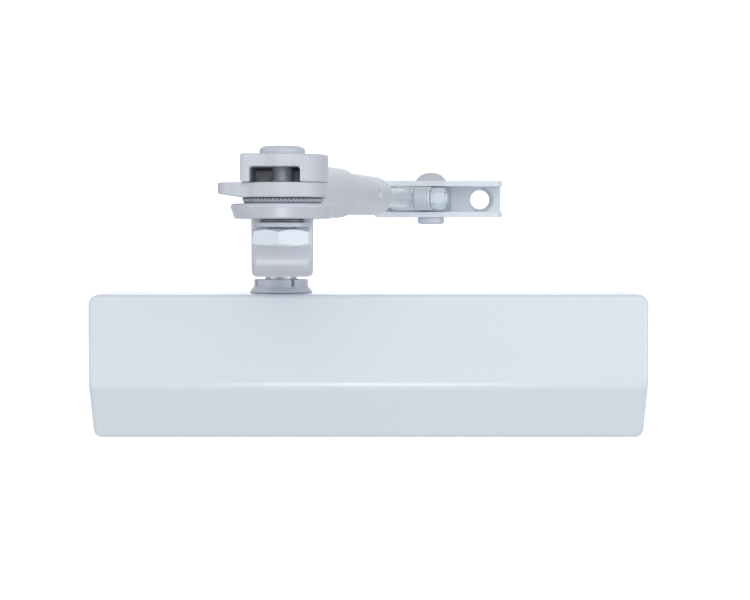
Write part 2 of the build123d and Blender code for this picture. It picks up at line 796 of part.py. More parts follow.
# Hold-open stop ring with a finely serrated rim, and the stop plate above it
ring_r = 13.5
serrations = 60
with BuildPart() as stop_ring:
    ring_section = [
        (stud_r + running, knuckle_top + 0.05),
        (ring_r - 0.4, knuckle_top + 0.05),
        (ring_r - 0.4, knuckle_top + 0.9),
        (ring_r, knuckle_top + 1.1),
        (ring_r, plate_bottom - 0.05),
        (stud_r + running, plate_bottom - 0.05),
    ]
    revolve(outline(elbow_section, ring_section), axis=elbow_axis)
    with BuildSketch(Plane(origin=(elbow_x, elbow_y, plate_bottom))):
        with PolarLocations(ring_r, serrations):
            Rectangle(1.6, 0.62)
    extrude(amount=-0.8, mode=Mode.SUBTRACT)
stop_ring.part.label = "stop_ring"
export_step(stop_ring.part, "parts/stop_ring.step")

detent_r = 2.45
detent_place = elbow + fore_dir * 9.6
lobe_size = 22.0
lobe_reach = 10.6
with BuildPart() as stop_plate:
    with BuildSketch(Plane.XY.offset(plate_bottom)):
        with Locations((elbow_x, elbow_y)):
            Circle(plate_r)
    extrude(amount=plate_top - plate_bottom)
    with BuildSketch(Plane.XY.offset(plate_bottom)):
        with Locations((elbow_x - lobe_reach, elbow_y)):
            RectangleRounded(lobe_size, lobe_size, 7)
    extrude(amount=plate_top - plate_bottom)
    with BuildSketch(Plane.XZ.offset(-elbow_y)):
        with BuildLine():
            Polyline(
                (elbow_x - 22, plate_bottom - 1),
                (elbow_x - 12.5, plate_bottom - 0.2),
                (elbow_x - 22, plate_bottom + 1.4),
                close=True,
            )
        make_face()
    extrude(amount=20, both=True, mode=Mode.SUBTRACT)
    with BuildSketch(Plane.XY.offset(plate_bottom)):
        with Locations((elbow_x, elbow_y)):
            Circle(stud_r + running)
        with Locations((detent_place.X, detent_place.Y)):
            Circle(detent_r)
    extrude(amount=plate_top - plate_bottom, mode=Mode.SUBTRACT)
stop_plate.part.label = "stop_plate"
export_step(stop_plate.part, "parts/stop_plate.step")

# Forearm casting: slotted head over the stop plate, then a stepped tube for the rod
tube_start = 10.0
tube_end = 143.0
tube_r = 9.3
shoulder_start = 74.0
rod_start = 84.0
bore_start = 70.0
lock_s = 112.0
lock_r = 2.5
lock_near = 4.4
lock_far = 6.9
clearing_r = 25.6
slot_floor = plate_top + 0.05
slot_height = 5.1
with BuildPart() as forearm:
    with BuildSketch(Plane.XY.offset(slot_floor)):
        with Locations((elbow_x, elbow_y)):
            Circle(head_r)
        with Locations((elbow_x - head_left - head_r / 2, elbow_y)):
            Rectangle(head_r, 3 * head_r, mode=Mode.SUBTRACT)
        with Locations((elbow_x - head_left + head_block / 2, elbow_y)):
            RectangleRounded(head_block, 2 * head_r - 1.4, 1.5)
    extrude(amount=head_top - slot_floor)
    top_rim = forearm.edges().filter_by(lambda e: e.center().Z > head_top - 0.01)
    fillet(top_rim, 1.0)
    tube_section = [
        (tube_start, 0),
        (tube_start, 8.8),
        (shoulder_start, tube_r),
        (shoulder_start + 4, tube_r - 1.3),
        (tube_end - 9, tube_r - 1.6),
        (tube_end - 3, tube_r - 2.7),
        (tube_end, tube_r - 4.4),
        (tube_end, 0),
    ]
    revolve(outline(fore_section, tube_section), axis=fore_axis)
    with BuildSketch(Plane.XY.offset(forearm_z - 12)):
        with Locations((elbow_x, elbow_y)):
            Circle(plate_r + 0.5)
    extrude(amount=slot_floor - forearm_z + 12, mode=Mode.SUBTRACT)
    with BuildSketch(Plane.XY.offset(forearm_z - 12)):
        with Locations((elbow_x, elbow_y)):
            Circle(clearing_r)
    extrude(amount=plate_bottom + 0.4 - forearm_z + 12, mode=Mode.SUBTRACT)
    with BuildSketch(Plane.XY.offset(slot_floor)):
        with Locations((elbow_x - 1.8, elbow_y - 7)):
            Rectangle(16.6, 26)
    extrude(amount=slot_height, mode=Mode.SUBTRACT)
    with BuildSketch(Plane.XY.offset(slot_floor)):
        with Locations((elbow_x, elbow_y)):
            Circle(shank_r + running)
        with Locations((detent_place.X, detent_place.Y)):
            Circle(detent_r)
    extrude(amount=head_top - slot_floor, mode=Mode.SUBTRACT)
    bore_plane = Plane(origin=fore_axis.position + fore_dir * bore_start, z_dir=fore_dir)
    with BuildSketch(bore_plane):
        Circle(rod_r + running)
    extrude(amount=tube_end - bore_start, mode=Mode.SUBTRACT)
    with BuildSketch(Plane(origin=fore_axis.position + fore_dir * lock_s, z_dir=side_dir)):
        Circle(lock_r + running)
    extrude(amount=10, mode=Mode.SUBTRACT)
forearm.part.label = "forearm"
export_step(forearm.part, "parts/forearm.step")

# Detent in the head: ball on the stop ring, spring and plug
with BuildPart() as detent_ball:
    with Locations((detent_place.X, detent_place.Y, plate_bottom + 2.4)):
        Sphere(detent_r - running)
detent_ball.part.label = "detent_ball"
export_step(detent_ball.part, "parts/detent_ball.step")

detent_coil = Helix(
    pitch=1.0,
    height=4.6,
    radius=1.6,
    center=(detent_place.X, detent_place.Y, plate_top + 0.2),
)
with BuildPart() as detent_spring:
    with BuildSketch(Plane(origin=detent_coil @ 0, z_dir=detent_coil % 0)):
        Circle(0.3)
    sweep(path=detent_coil)
detent_spring.part.label = "detent_spring"
export_step(detent_spring.part, "parts/detent_spring.step")

with BuildPart() as detent_plug:
    with BuildSketch(Plane(origin=(detent_place.X, detent_place.Y, head_top - 0.4))):
        Circle(detent_r - running)
    extrude(amount=-3.6)
    with BuildSketch(Plane(origin=(detent_place.X, detent_place.Y, head_top - 0.4))):
        Rectangle(0.8, 2 * detent_r)
    extrude(amount=-1, mode=Mode.SUBTRACT)
detent_plug.part.label = "detent_plug"
export_step(detent_plug.part, "parts/detent_plug.step")

with BuildPart() as rod_lock_screw:
    lock_point = fore_axis.position + fore_dir * lock_s
    with BuildSketch(Plane(origin=lock_point + side_dir * lock_near, z_dir=side_dir)):
        Circle(lock_r)
    extrude(amount=lock_far - lock_near)
    with BuildSketch(Plane(origin=lock_point + side_dir * lock_far, z_dir=side_dir)):
        RegularPolygon(1.25, 6, major_radius=False)
    extrude(amount=-1.6, mode=Mode.SUBTRACT)
rod_lock_screw.part.label = "rod_lock_screw"
export_step(rod_lock_screw.part, "parts/rod_lock_screw.step")

# Adjusting rod with an eye, and the bolt that joins the eye to the swivel
eye_r = 5.2
eye_half = 4.1
bolt_r = 2.5
lug_left = 4.2
lug_right = 1.6
with BuildPart() as adjusting_rod:
    with BuildSketch(Plane(origin=fore_axis.position + fore_dir * rod_start, z_dir=fore_dir)):
        Circle(rod_r)
    extrude(amount=forearm_reach - rod_start)
    with BuildSketch(Plane(origin=eye_point, z_dir=side_dir)):
        Circle(eye_r)
    extrude(amount=eye_half, both=True)
    with BuildSketch(Plane(origin=eye_point, z_dir=side_dir)):
        Circle(bolt_r + running)
    extrude(amount=eye_half, both=True, mode=Mode.SUBTRACT)
adjusting_rod.part.label = "adjusting_rod"
export_step(adjusting_rod.part, "parts/adjusting_rod.step")

lug_near = eye_offset - lug_left
lug_far = eye_offset + lug_right
block_r = 6.2
block_low = 67.4
block_high = 78.1
with BuildPart() as swivel_block:
    with BuildSketch(Plane(origin=(rivet_point.X, rivet_point.Y, block_low))):
        Circle(block_r)
    extrude(amount=block_high - block_low)
    with BuildSketch(Plane(origin=eye_point + side_dir * lug_near, z_dir=side_dir)):
        Circle(eye_r)
    extrude(amount=lug_far - lug_near)
    lug_middle = eye_point + side_dir * (lug_near + lug_far) / 2 + fore_dir * swivel_reach / 2
    with BuildSketch(Plane(origin=(lug_middle.X, lug_middle.Y, forearm_z - eye_r), x_dir=side_dir, z_dir=up)):
        Rectangle(lug_far - lug_near, swivel_reach)
    extrude(amount=2 * eye_r)
    with BuildSketch(Plane(origin=(rivet_point.X, rivet_point.Y, block_low))):
        Circle(rivet_r + running)
    extrude(amount=block_high - block_low, mode=Mode.SUBTRACT)
    with BuildSketch(Plane(origin=eye_point, z_dir=side_dir)):
        Circle(bolt_r + running)
    extrude(amount=lug_far + 1, mode=Mode.SUBTRACT)
swivel_block.part.label = "swivel_block"
export_step(swivel_block.part, "parts/swivel_block.step")

head_thickness = 3.2
bolt_head_r = 4.2
bolt_end = eye_offset + 10.2
with BuildPart() as eye_bolt:
    bolt_section = [
        (-eye_half - 0.1 - head_thickness, 0),
        (-eye_half - 0.1 - head_thickness, bolt_head_r),
        (-eye_half - 0.1, bolt_head_r),
        (-eye_half - 0.1, bolt_r),
        (bolt_end - 0.6, bolt_r),
        (bolt_end, bolt_r - 0.6),
        (bolt_end, 0),
    ]
    revolve(outline(eye_section, bolt_section), axis=eye_axis)
eye_bolt.part.label = "eye_bolt"
export_step(eye_bolt.part, "parts/eye_bolt.step")

with BuildPart() as eye_washers:
    for start, outer_r in ((lug_far + 0.05, 5.0), (lug_far + 1.55, 4.3)):
        ring = sleeve(bolt_r + running, outer_r, start, start + 1.3)
        revolve(outline(eye_section, ring), axis=eye_axis)
eye_washers.part.label = "eye_washers"
export_step(eye_washers.part, "parts/eye_washers.step")

eye_nut_start = lug_far + 2.95
with BuildPart() as eye_nut:
    with BuildSketch(Plane(origin=eye_point + side_dir * eye_nut_start, x_dir=up, z_dir=side_dir)):
        RegularPolygon(4, 6, major_radius=False)
        Circle(bolt_r + running, mode=Mode.SUBTRACT)
    extrude(amount=4.6)
    rounding = [
        (eye_nut_start, 0),
        (eye_nut_start, 4.7),
        (eye_nut_start + 3.2, 4.7),
        (eye_nut_start + 4.6, 3.5),
        (eye_nut_start + 4.6, 0),
    ]
    revolve(outline(eye_section, rounding), axis=eye_axis, mode=Mode.INTERSECT)
eye_nut.part.label = "eye_nut"
export_step(eye_nut.part, "parts/eye_nut.step")

# Frame bracket: a channel with two countersunk holes, and the rivet that carries the swivel
inner_low = bracket_bottom + bracket_wall
inner_high = bracket_top - bracket_wall
with BuildPart() as bracket:
    with BuildSketch(Plane.XY.offset(bracket_bottom)) as plan:
        with Locations((bracket_middle, -bracket_depth / 2)):
            Rectangle(bracket_right - bracket_left, bracket_depth)
        fillet(plan.vertices().group_by(Axis.Y)[0], 5)
    extrude(amount=bracket_top - bracket_bottom)
    with BuildSketch(Plane.XZ.offset(bracket_wall)):
        with Locations((bracket_middle, bracket_mid_z)):
            Rectangle(bracket_right - bracket_left, inner_high - inner_low)
    extrude(amount=bracket_depth - bracket_wall, mode=Mode.SUBTRACT)
    outer = bracket.edges().filter_by(GeomType.LINE).group_by(Axis.Z)
    fillet(outer[0].filter_by(Axis.Y) + outer[-1].filter_by(Axis.Y), 1.0)
    with Locations(Plane.XZ.offset(bracket_wall)):
        with Locations((bracket_middle, bracket_mid_z)):
            with GridLocations(bracket_hole_spacing, 0, 2, 1):
                CounterSinkHole(bracket_hole_r, 5.95)
    with BuildSketch(Plane(origin=(rivet_point.X, rivet_point.Y, bracket_bottom))):
        Circle(rivet_r + running)
    extrude(amount=bracket_top - bracket_bottom, mode=Mode.SUBTRACT)
bracket.part.label = "bracket"
export_step(bracket.part, "parts/bracket.step")

dome_r = 6.75
rivet_foot = 61.6
foot_r = 5.9
dome_low = bracket_top + 0.45
dome_high = bracket_top + 3.95
dome_curve = (dome_r**2 + (dome_high - dome_low) ** 2) / (2 * (dome_high - dome_low))
dome_mid = dome_r * 0.6
with BuildPart() as pivot_rivet:
    with BuildSketch(rivet_section):
        with BuildLine():
            Polyline(
                (0, dome_high),
                (0, rivet_foot),
                (foot_r - 1.3, rivet_foot),
                (foot_r, rivet_foot + 0.8),
                (foot_r, bracket_bottom - 0.05),
                (rivet_r, bracket_bottom - 0.05),
                (rivet_r, bracket_top + 0.05),
                (dome_r, bracket_top + 0.05),
                (dome_r, dome_low),
            )
            arc_mid_z = dome_high - dome_curve + (dome_curve**2 - dome_mid**2) ** 0.5
            ThreePointArc((dome_r, dome_low), (dome_mid, arc_mid_z), (0, dome_high))
        make_face()
    revolve(axis=rivet_axis)
pivot_rivet.part.label = "pivot_rivet"
export_step(pivot_rivet.part, "parts/pivot_rivet.step")

with BuildPart() as pivot_liner:
    with BuildSketch(Plane.XZ.offset(bracket_wall + 0.02)):
        with Locations((rivet_point.X, bracket_mid_z)):
            Rectangle(18.8, inner_high - inner_low - 0.1)
    extrude(amount=0.8)
pivot_liner.part.label = "pivot_liner"
export_step(pivot_liner.part, "parts/pivot_liner.step")
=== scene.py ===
import json
from math import cos, pi, radians, tau

import bmesh
import bpy
from bpy.props import FloatProperty, FloatVectorProperty, IntProperty, PointerProperty
from mathutils import Matrix, Vector


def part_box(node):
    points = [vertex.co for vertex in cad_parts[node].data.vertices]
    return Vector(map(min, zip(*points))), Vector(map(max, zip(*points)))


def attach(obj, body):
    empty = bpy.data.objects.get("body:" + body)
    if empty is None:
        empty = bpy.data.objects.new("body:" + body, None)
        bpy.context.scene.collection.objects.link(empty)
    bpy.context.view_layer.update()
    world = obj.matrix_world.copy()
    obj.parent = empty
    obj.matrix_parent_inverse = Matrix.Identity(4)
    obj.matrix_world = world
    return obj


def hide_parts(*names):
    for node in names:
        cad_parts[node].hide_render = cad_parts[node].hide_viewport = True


bl_info = {
    "name": "Door Closer",
    "version": (1, 0, 0),
    "blender": (4, 5, 0),
    "location": "View3D > Sidebar > Door Closer",
    "description": "Builds the visible pieces of a surface-mounted door closer round its CAD frame",
    "category": "Add Mesh",
}

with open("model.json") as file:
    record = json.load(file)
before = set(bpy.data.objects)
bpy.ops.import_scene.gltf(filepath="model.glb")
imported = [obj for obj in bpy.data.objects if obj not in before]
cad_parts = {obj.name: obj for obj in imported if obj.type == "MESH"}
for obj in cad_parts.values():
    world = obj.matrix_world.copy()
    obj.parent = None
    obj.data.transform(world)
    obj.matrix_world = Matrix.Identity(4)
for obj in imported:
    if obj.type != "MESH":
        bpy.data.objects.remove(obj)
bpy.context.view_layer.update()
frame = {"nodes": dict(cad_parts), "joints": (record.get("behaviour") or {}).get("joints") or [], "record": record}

MM = 0.001
UP = Vector((0, 0, 1))


# ---------------------------------------------------------------- places taken from the frame


def joint(name):
    """One joint of the frame, by name."""
    return next(j for j in frame["joints"] if j["name"] == name)


def span(node):
    """Lowest and highest corner of a CAD node, in millimetres."""
    low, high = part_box(node)
    return Vector(low) / MM, Vector(high) / MM


def axes_at(origin, x_axis=(1, 0, 0), z_axis=(0, 0, 1)):
    """Matrix that takes millimetres along local axes to metres in the frame."""
    x = Vector(x_axis).normalized()
    z = Vector(z_axis).normalized()
    turned = Matrix((x, z.cross(x), z)).transposed().to_4x4()
    return Matrix.Translation(Vector(origin)) @ turned @ Matrix.Scale(MM, 4)


def upright_at(name):
    """Axes with the origin at height zero on a joint's upright axis."""
    place = joint(name)["pos_m"]
    return axes_at((place[0], place[1], 0))


PINION = Vector(joint("pinion_turn")["pos_m"][:2] + [0])
ELBOW = Vector(joint("elbow_turn")["pos_m"][:2] + [0])
EYE = Vector(joint("swivel_tilt")["pos_m"])
RIVET = Vector(joint("bracket_turn")["pos_m"])
ARM_DIRECTION = (ELBOW - PINION).normalized()
FOREARM_DIRECTION = Vector(joint("rod_slide")["axis"]).normalized()
EYE_AXIS = Vector(joint("swivel_tilt")["axis"]).normalized()
ARM_REACH = (ELBOW - PINION).length / MM
FOREARM_HEIGHT = EYE.z / MM
FOREARM_REACH = (EYE - ELBOW).to_2d().length / MM
RIVET_OFFSET = (RIVET - EYE).dot(EYE_AXIS) / MM

# Places and radii that more than one piece uses, in millimetres.
FOREARM_SEAT = 74.9
LOCK_SCREW_PLACE = 112
STUD_HOLE = 5.05
EYE_HOLE = 2.55
RIVET_HOLE = 3.25
NEAR = 0.1  # two places this close count as one


# ---------------------------------------------------------------- sizes and colours


class CloserSizes(bpy.types.PropertyGroup):
    """Sizes that finish the visible pieces, in millimetres"""

    cover_top_corner: FloatProperty(
        name="Cover top corner", description="Radius of the upper corners", default=4.7
    )
    cover_low_corner: FloatProperty(
        name="Cover low corner", description="Radius of the lower corners", default=3.4
    )
    cover_edge: FloatProperty(name="Cover edge", description="Radius round the front of the cover", default=2.2)
    cover_ridge: FloatProperty(name="Cover ridge", description="Half width of the rounded ridge", default=2.4)
    cover_wall: FloatProperty(name="Cover wall", description="Thickness of the moulded wall", default=2.2)
    cast_voxel: FloatProperty(name="Cast grain", description="Mesh step on cast and forged pieces", default=0.5)
    forged_edge: FloatProperty(
        name="Forged edge", description="Facet along the edges of the main arm", default=1.1
    )
    machined_edge: FloatProperty(
        name="Machined edge", description="Rounding on turned and pressed pieces", default=0.22
    )
    ring_teeth: IntProperty(name="Ring teeth", description="Serrations round the stop ring", default=60)
    round_steps: IntProperty(name="Round steps", description="Steps round a turned piece", default=72)


class CloserColours(bpy.types.PropertyGroup):
    """Base colours of the finishes"""

    cover_paint: FloatVectorProperty(
        name="Cover paint", description="Silver paint of the cover", subtype="COLOR", default=(0.66, 0.71, 0.77)
    )
    arm_paint: FloatVectorProperty(
        name="Arm paint", description="Silver paint of the arms", subtype="COLOR", default=(0.63, 0.66, 0.73)
    )
    zinc: FloatVectorProperty(
        name="Zinc", description="Bright zinc plating", subtype="COLOR", default=(0.70, 0.76, 0.82)
    )
    casting: FloatVectorProperty(
        name="Casting", description="Bare cast aluminium", subtype="COLOR", default=(0.60, 0.61, 0.62)
    )


# ---------------------------------------------------------------- mesh helpers


def turned(profile, steps, closed=True):
    """A solid of revolution about Z from points of radius and height."""
    merge_within = 1e-4
    bm = bmesh.new()
    verts = [bm.verts.new((radius, 0, height)) for radius, height in profile]
    pairs = list(zip(verts, verts[1:]))
    if closed:
        pairs.append((verts[-1], verts[0]))
    edges = [bm.edges.new(pair) for pair in pairs]
    bmesh.ops.spin(
        bm, geom=verts + edges, cent=(0, 0, 0), axis=(0, 0, 1), angle=tau, steps=steps, use_merge=True
    )
    bmesh.ops.remove_doubles(bm, verts=bm.verts, dist=merge_within)
    bmesh.ops.recalc_face_normals(bm, faces=bm.faces)
    return bm


def flat_face(points):
    """A new bmesh that holds one face through points in the XY plane."""
    bm = bmesh.new()
    bm.faces.new([bm.verts.new((x, y, 0)) for x, y in points])
    return bm


def rectangle(left, right, low, high):
    """A new bmesh that holds one rectangle, its corners in order from the lower left."""
    return flat_face([(left, low), (right, low), (right, high), (left, high)])


def round_corners(bm, chosen, reach, segments=6):
    """Rounds the chosen corners of a flat face; reach is the distance cut back along each edge."""
    bm.verts.ensure_lookup_table()
    bmesh.ops.bevel(
        bm,
        geom=[bm.verts[i] for i in chosen],
        offset=reach,
        segments=segments,
        profile=0.5,
        affect="VERTICES",
        material=-1,
    )


def spun(bm, angle, axis):
    """Turns a mesh about an axis through the origin."""
    bmesh.ops.rotate(bm, verts=bm.verts, cent=(0, 0, 0), matrix=Matrix.Rotation(angle, 3, axis))


def raised(bm, low, high):
    """Turns a flat face into a closed prism between two heights."""
    bmesh.ops.translate(bm, verts=bm.verts, vec=(0, 0, low))
    grown = bmesh.ops.extrude_face_region(bm, geom=bm.faces[:])
    moved = [v for v in grown["geom"] if isinstance(v, bmesh.types.BMVert)]
    bmesh.ops.translate(bm, verts=moved, vec=(0, 0, high - low))
    bmesh.ops.recalc_face_normals(bm, faces=bm.faces)
    return bm


def block(low, high):
    """A box between two corners."""
    bm = rectangle(low[0], high[0], low[1], high[1])
    return raised(bm, low[2], high[2])


def drum(radius, low, high, steps=72, centre=(0, 0)):
    """A plain cylinder about an upright axis, for cutting and joining."""
    bm = turned([(0, low), (radius, low), (radius, high), (0, high)], steps, closed=False)
    bmesh.ops.translate(bm, verts=bm.verts, vec=(centre[0], centre[1], 0))
    return bm


def hexagon(flat, low, high, turn=0.0):
    """A six-sided prism with a corner at an angle from the X axis; flat is half its width across flats."""
    bm = bmesh.new()
    bmesh.ops.create_circle(bm, cap_ends=True, radius=flat / cos(pi / 6), segments=6)
    spun(bm, turn - pi / 2, "Z")
    return raised(bm, low, high)


def sliced(bm, point, normal):
    """Cuts away what lies beyond a plane and closes the cut."""
    geom = bm.verts[:] + bm.edges[:] + bm.faces[:]
    cut = bmesh.ops.bisect_plane(bm, geom=geom, plane_co=point, plane_no=normal, clear_outer=True)
    rim = [e for e in cut["geom_cut"] if isinstance(e, bmesh.types.BMEdge)]
    bmesh.ops.contextual_create(bm, geom=rim)
    bmesh.ops.recalc_face_normals(bm, faces=bm.faces)


def soften(bm, radius, segments=2, sharper_than=28, where=None):
    """Bevels every edge that turns more sharply than an angle in degrees."""
    sharp = radians(sharper_than)
    edges = [e for e in bm.edges if e.is_manifold and e.calc_face_angle() > sharp]
    if where:
        edges = [e for e in edges if where((e.verts[0].co + e.verts[1].co) / 2)]
    bmesh.ops.bevel(
        bm,
        geom=edges,
        offset=radius,
        segments=segments,
        profile=0.5,
        affect="EDGES",
        material=-1,
        clamp_overlap=True,
    )


def body_of_mesh(bm, name="work"):
    """A scene object that holds a bmesh."""
    mesh = bpy.data.meshes.new(name)
    bm.to_mesh(mesh)
    bm.free()
    obj = bpy.data.objects.new(name, mesh)
    bpy.context.scene.collection.objects.link(obj)
    return obj


def settle(obj):
    """Applies an object's modifiers to its mesh."""
    graph = bpy.context.evaluated_depsgraph_get()
    done = bpy.data.meshes.new_from_object(obj.evaluated_get(graph))
    obj.modifiers.clear()
    obj.data = done


def combine(obj, bm, operation):
    """Joins, cuts or crosses an object with a bmesh."""
    tool = body_of_mesh(bm, "tool")
    step = obj.modifiers.new("combine", "BOOLEAN")
    step.object = tool
    step.operation = operation
    step.solver = "EXACT"
    settle(obj)
    bpy.data.objects.remove(tool)


def ease_edges(obj, width, sharper_than):
    """Rounds the edges of a finished shape that turn more sharply than an angle in degrees."""
    edge = obj.modifiers.new("edge", "BEVEL")
    edge.width = width
    edge.segments = 2
    edge.limit_method = "ANGLE"
    edge.angle_limit = radians(sharper_than)
    settle(obj)


def cast(obj, voxel, rounds):
    """Melts a joined solid into one skin with soft corners, as a casting has."""
    melt = obj.modifiers.new("melt", "REMESH")
    melt.mode = "VOXEL"
    melt.voxel_size = voxel
    ease = obj.modifiers.new("ease", "SMOOTH")
    ease.factor = 0.5
    ease.iterations = rounds
    settle(obj)


def finish_piece(obj, name, placing, body, slot, replaced=(), flats=True):
    """Names a piece, puts it in its place, and ties it to its CAD body."""
    obj.name = name
    obj.data.name = name
    obj.data.transform(placing)
    obj.data.shade_smooth()
    if flats:
        even = obj.modifiers.new("even", "WEIGHTED_NORMAL")
        even.weight = 80
        even.keep_sharp = True
    if not obj.data.materials:
        obj.data.materials.append(None)
    obj.data.materials[0] = finish(slot)
    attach(obj, body)
    if replaced:
        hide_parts(*replaced)
    return obj


# ---------------------------------------------------------------- finishes


class Tree:
    """Short ways to add and link nodes in one node tree."""

    def __init__(self, tree):
        self.tree = tree

    def add(self, kind, **settings):
        """A new node with its settings and plain input values."""
        node = self.tree.nodes.new(kind)
        for key, value in settings.items():
            if hasattr(node, key):
                setattr(node, key, value)
            else:
                node.inputs[key.replace("_", " ").title()].default_value = value
        return node

    def link(self, source, target):
        """Joins an output socket to an input socket."""
        self.tree.links.new(source, target)


def new_group(name, inputs, outputs):
    """A shader node group with float inputs and outputs, and its two end nodes."""
    group = bpy.data.node_groups.new(name, "ShaderNodeTree")
    for label, value in inputs:
        group.interface.new_socket(label, in_out="INPUT", socket_type="NodeSocketFloat").default_value = value
    for label in outputs:
        group.interface.new_socket(label, in_out="OUTPUT", socket_type="NodeSocketFloat")
    nodes = Tree(group)
    return group, nodes, nodes.add("NodeGroupInput"), nodes.add("NodeGroupOutput")


def make_skin_group():
    """Orange peel and fine flake of sprayed paint."""
    group, nodes, entry, leave = new_group(
        "paint_skin", [("Peel Size", 320.0), ("Flake Size", 5200.0), ("Flake", 0.3)], ["Height", "Sparkle"]
    )
    place = nodes.add("ShaderNodeTexCoord")
    peel = nodes.add("ShaderNodeTexNoise", detail=2.0, roughness=0.4)
    flake = nodes.add("ShaderNodeTexNoise", detail=1.0)
    share = nodes.add("ShaderNodeMath", operation="MULTIPLY")
    both = nodes.add("ShaderNodeMath", operation="ADD")
    nodes.link(place.outputs["Object"], peel.inputs["Vector"])
    nodes.link(place.outputs["Object"], flake.inputs["Vector"])
    nodes.link(entry.outputs["Peel Size"], peel.inputs["Scale"])
    nodes.link(entry.outputs["Flake Size"], flake.inputs["Scale"])
    nodes.link(flake.outputs["Fac"], share.inputs[0])
    nodes.link(entry.outputs["Flake"], share.inputs[1])
    nodes.link(peel.outputs["Fac"], both.inputs[0])
    nodes.link(share.outputs[0], both.inputs[1])
    nodes.link(both.outputs[0], leave.inputs["Height"])
    nodes.link(flake.outputs["Fac"], leave.inputs["Sparkle"])
    return group


def make_wear_group():
    """Lighter corners as painted highlight and wear, darker hollows as painted shade, and the uneven gloss of
    handling.
    """
    group, nodes, entry, leave = new_group(
        "wear_shade_and_highlight", [("Low", 0.5), ("High", 0.58), ("Patch Size", 28.0)], ["Edge", "Hollow Shade", "Patches"]
    )
    shape = nodes.add("ShaderNodeNewGeometry")
    place = nodes.add("ShaderNodeTexCoord")
    # The corner mask is lightened by the finishes as painted highlight and wear; the hollow mask is darkened as
    # painted shade.
    edge = nodes.add("ShaderNodeMapRange")
    hollow = nodes.add("ShaderNodeMapRange")
    hollow.inputs["From Min"].default_value = 0.5
    hollow.inputs["From Max"].default_value = 0.42
    patches = nodes.add("ShaderNodeTexNoise", detail=4.0, roughness=0.62)
    nodes.link(shape.outputs["Pointiness"], edge.inputs["Value"])
    nodes.link(shape.outputs["Pointiness"], hollow.inputs["Value"])
    nodes.link(entry.outputs["Low"], edge.inputs["From Min"])
    nodes.link(entry.outputs["High"], edge.inputs["From Max"])
    nodes.link(entry.outputs["Patch Size"], patches.inputs["Scale"])
    nodes.link(place.outputs["Object"], patches.inputs["Vector"])
    nodes.link(edge.outputs["Result"], leave.inputs["Edge"])
    nodes.link(hollow.outputs["Result"], leave.inputs["Hollow Shade"])
    nodes.link(patches.outputs["Fac"], leave.inputs["Patches"])
    return group


def make_lines_group():
    """Fine lines left by turning, drawing or grinding, stretched along one direction."""
    group, nodes, entry, leave = new_group(
        "tool_lines", [("Along X", 60.0), ("Along Y", 60.0), ("Along Z", 2400.0)], ["Lines"]
    )
    place = nodes.add("ShaderNodeTexCoord")
    pulls = nodes.add("ShaderNodeCombineXYZ")
    stretch = nodes.add("ShaderNodeVectorMath", operation="MULTIPLY")
    lines = nodes.add("ShaderNodeTexNoise", detail=3.0, roughness=0.6)
    lines.inputs["Scale"].default_value = 1.0
    for axis in "XYZ":
        nodes.link(entry.outputs["Along " + axis], pulls.inputs[axis])
    nodes.link(place.outputs["Object"], stretch.inputs[0])
    nodes.link(pulls.outputs["Vector"], stretch.inputs[1])
    nodes.link(stretch.outputs["Vector"], lines.inputs["Vector"])
    nodes.link(lines.outputs["Fac"], leave.inputs["Lines"])
    return group


GROUP_MAKERS = {"paint_skin": make_skin_group, "wear_shade_and_highlight": make_wear_group, "tool_lines": make_lines_group}


def placed_group(nodes, name, **values):
    """A shared group placed in a material with its own input values."""
    group = bpy.data.node_groups.get(name) or GROUP_MAKERS[name]()
    node = nodes.add("ShaderNodeGroup")
    node.node_tree = group
    for key, value in values.items():
        node.inputs[key.replace("_", " ").title()].default_value = value
    return node


def blank_material(name, metallic, roughness):
    """A material with its shader and its node helper."""
    material = bpy.data.materials.new(name)
    material.use_nodes = True
    nodes = Tree(material.node_tree)
    shader = material.node_tree.nodes["Principled BSDF"]
    shader.inputs["Metallic"].default_value = metallic
    shader.inputs["Roughness"].default_value = roughness
    return material, nodes, shader


def scaled(colour, factor):
    """A colour made lighter or darker, with its alpha."""
    return (*[min(1.0, c * factor) for c in colour], 1.0)


# Places of the colour sockets on a Mix node, whose names repeat for each type of data.
MIX_FACTOR = 0
MIX_UNDER = 6
MIX_OVER = 7
MIX_RESULT = 2


def tint(nodes, shader, colour, parts):
    """Base colour that shifts by masks; parts are (mask socket, colour) pairs laid one over another."""
    current = None
    for mask, other in parts:
        mix = nodes.add("ShaderNodeMix", data_type="RGBA")
        if current is None:
            mix.inputs[MIX_UNDER].default_value = (*colour, 1.0)
        else:
            nodes.link(current, mix.inputs[MIX_UNDER])
        mix.inputs[MIX_OVER].default_value = other
        nodes.link(mask, mix.inputs[MIX_FACTOR])
        current = mix.outputs[MIX_RESULT]
    nodes.link(current, shader.inputs["Base Color"])


def ranged(nodes, source, low, high, start=0.3, end=0.7):
    """A mask mapped to values between low and high."""
    step = nodes.add("ShaderNodeMapRange")
    step.inputs["From Min"].default_value = start
    step.inputs["From Max"].default_value = end
    step.inputs["To Min"].default_value = low
    step.inputs["To Max"].default_value = high
    nodes.link(source, step.inputs["Value"])
    return step.outputs["Result"]


def bumped(nodes, shader, height, strength, depth):
    """Bump from a height, in metres of depth."""
    bump = nodes.add("ShaderNodeBump", strength=strength)
    bump.inputs["Distance"].default_value = depth
    nodes.link(height, bump.inputs["Height"])
    nodes.link(bump.outputs["Normal"], shader.inputs["Normal"])


